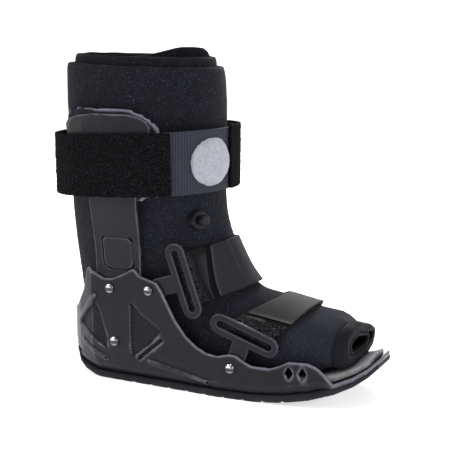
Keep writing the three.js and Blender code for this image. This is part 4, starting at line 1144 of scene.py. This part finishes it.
class BOOT_OT_studio(bpy.types.Operator):
    """Adds the floor, the lights and the camera."""

    bl_idname = "boot.studio"
    bl_label = "Studio"

    LIGHTS = {
        "key": {"location": (-1.1, -0.9, 1.3), "size": 0.4, "watts": 8},
        "front": {"location": (1.5, -0.4, 0.8), "size": 0.4, "watts": 6},
        "back": {"location": (-0.2, 1.5, 1.1), "size": 0.5, "watts": 22},
        "top": {"location": (0.1, -0.1, 1.7), "size": 0.5, "watts": 7},
    }

    # The wall round the floor: each step's rise, and how much wider it gets.
    WALL = ((0.1, 1.06), (0.3, 1.06), (0.6, 1.04), (1.2, 1.02))

    def execute(self, context):
        bpy.ops.object.select_all(action="DESELECT")
        circle = {"vertices": FLOOR_SIDES, "radius": FLOOR_RADIUS, "location": (0, 0, 0)}
        bpy.ops.mesh.primitive_circle_add(fill_type="NGON", **circle)
        floor = bpy.context.view_layer.objects.active
        floor.name = "studio_floor"
        bpy.ops.object.mode_set(mode="EDIT")
        bpy.ops.mesh.select_all(action="DESELECT")
        bpy.ops.mesh.primitive_circle_add(fill_type="NOTHING", **circle)
        for rise, reach in self.WALL:
            bpy.ops.mesh.extrude_edges_move(TRANSFORM_OT_translate={"value": (0, 0, rise)})
            bpy.ops.transform.resize(value=(reach, reach, 1), center_override=(0, 0, 0))
        bpy.ops.mesh.select_all(action="SELECT")
        bpy.ops.mesh.remove_doubles(threshold=MM)
        bpy.ops.object.mode_set(mode="OBJECT")
        floor.data.materials.append(finish_named(studio_floor))
        for name, light in self.LIGHTS.items():
            bpy.ops.object.light_add(type="AREA", location=light["location"])
            lamp = bpy.context.view_layer.objects.active
            lamp.name = f"{name}_light"
            lamp.data.size = light["size"]
            lamp.data.energy = light["watts"]
            look_at(lamp, LIGHT_TARGET)
        world = bpy.data.worlds.new("studio_world")
        world.use_nodes = True
        background = world.node_tree.nodes["Background"]
        background.inputs["Color"].default_value = (1, 1, 1, 1)
        background.inputs["Strength"].default_value = WORLD_STRENGTH
        context.scene.world = world
        context.scene.view_settings.view_transform = "Standard"
        turn = math.radians(VIEW_AZIMUTH)
        bpy.ops.object.camera_add(
            location=(CAMERA_REACH * math.sin(turn), -CAMERA_REACH * math.cos(turn), CAMERA_HEIGHT)
        )
        camera = bpy.context.view_layer.objects.active
        camera.name = "photo_camera"
        camera.data.lens = LENS
        camera.data.sensor_width = SENSOR
        look_at(camera, (0, 0, TARGET_HEIGHT))
        context.scene.camera = camera
        return {"FINISHED"}


STEPS = (
    BOOT_OT_studio,
    BOOT_OT_shell,
    BOOT_OT_sole,
    BOOT_OT_liner,
    BOOT_OT_uprights,
    BOOT_OT_pads,
    BOOT_OT_loops,
    BOOT_OT_rivets,
    BOOT_OT_calf_strap,
    BOOT_OT_pump,
    BOOT_OT_valve,
    BOOT_OT_straps,
)


class BOOT_PT_pieces(bpy.types.Panel):
    """Lists the boot's pieces in the sidebar."""

    bl_label = "Walking boot"
    bl_idname = "BOOT_PT_pieces"
    bl_space_type = "VIEW_3D"
    bl_region_type = "UI"
    bl_category = "Boot"

    def draw(self, context):
        for step in STEPS:
            self.layout.operator(step.bl_idname)
        for group in (context.scene.boot_sizes, context.scene.boot_colours):
            for name in group.__annotations__:
                self.layout.prop(group, name)


CLASSES = (BootSizes, BootColours, *STEPS, BOOT_PT_pieces)


def register():
    for kind in CLASSES:
        bpy.utils.register_class(kind)
    bpy.types.Scene.boot_sizes = bpy.props.PointerProperty(type=BootSizes)
    bpy.types.Scene.boot_colours = bpy.props.PointerProperty(type=BootColours)


def unregister():
    del bpy.types.Scene.boot_colours
    del bpy.types.Scene.boot_sizes
    for kind in reversed(CLASSES):
        bpy.utils.unregister_class(kind)


def main():
    register()
    for step in STEPS:
        group, name = step.bl_idname.split(".")
        getattr(getattr(bpy.ops, group), name)()


if __name__ == "__main__":
    main()
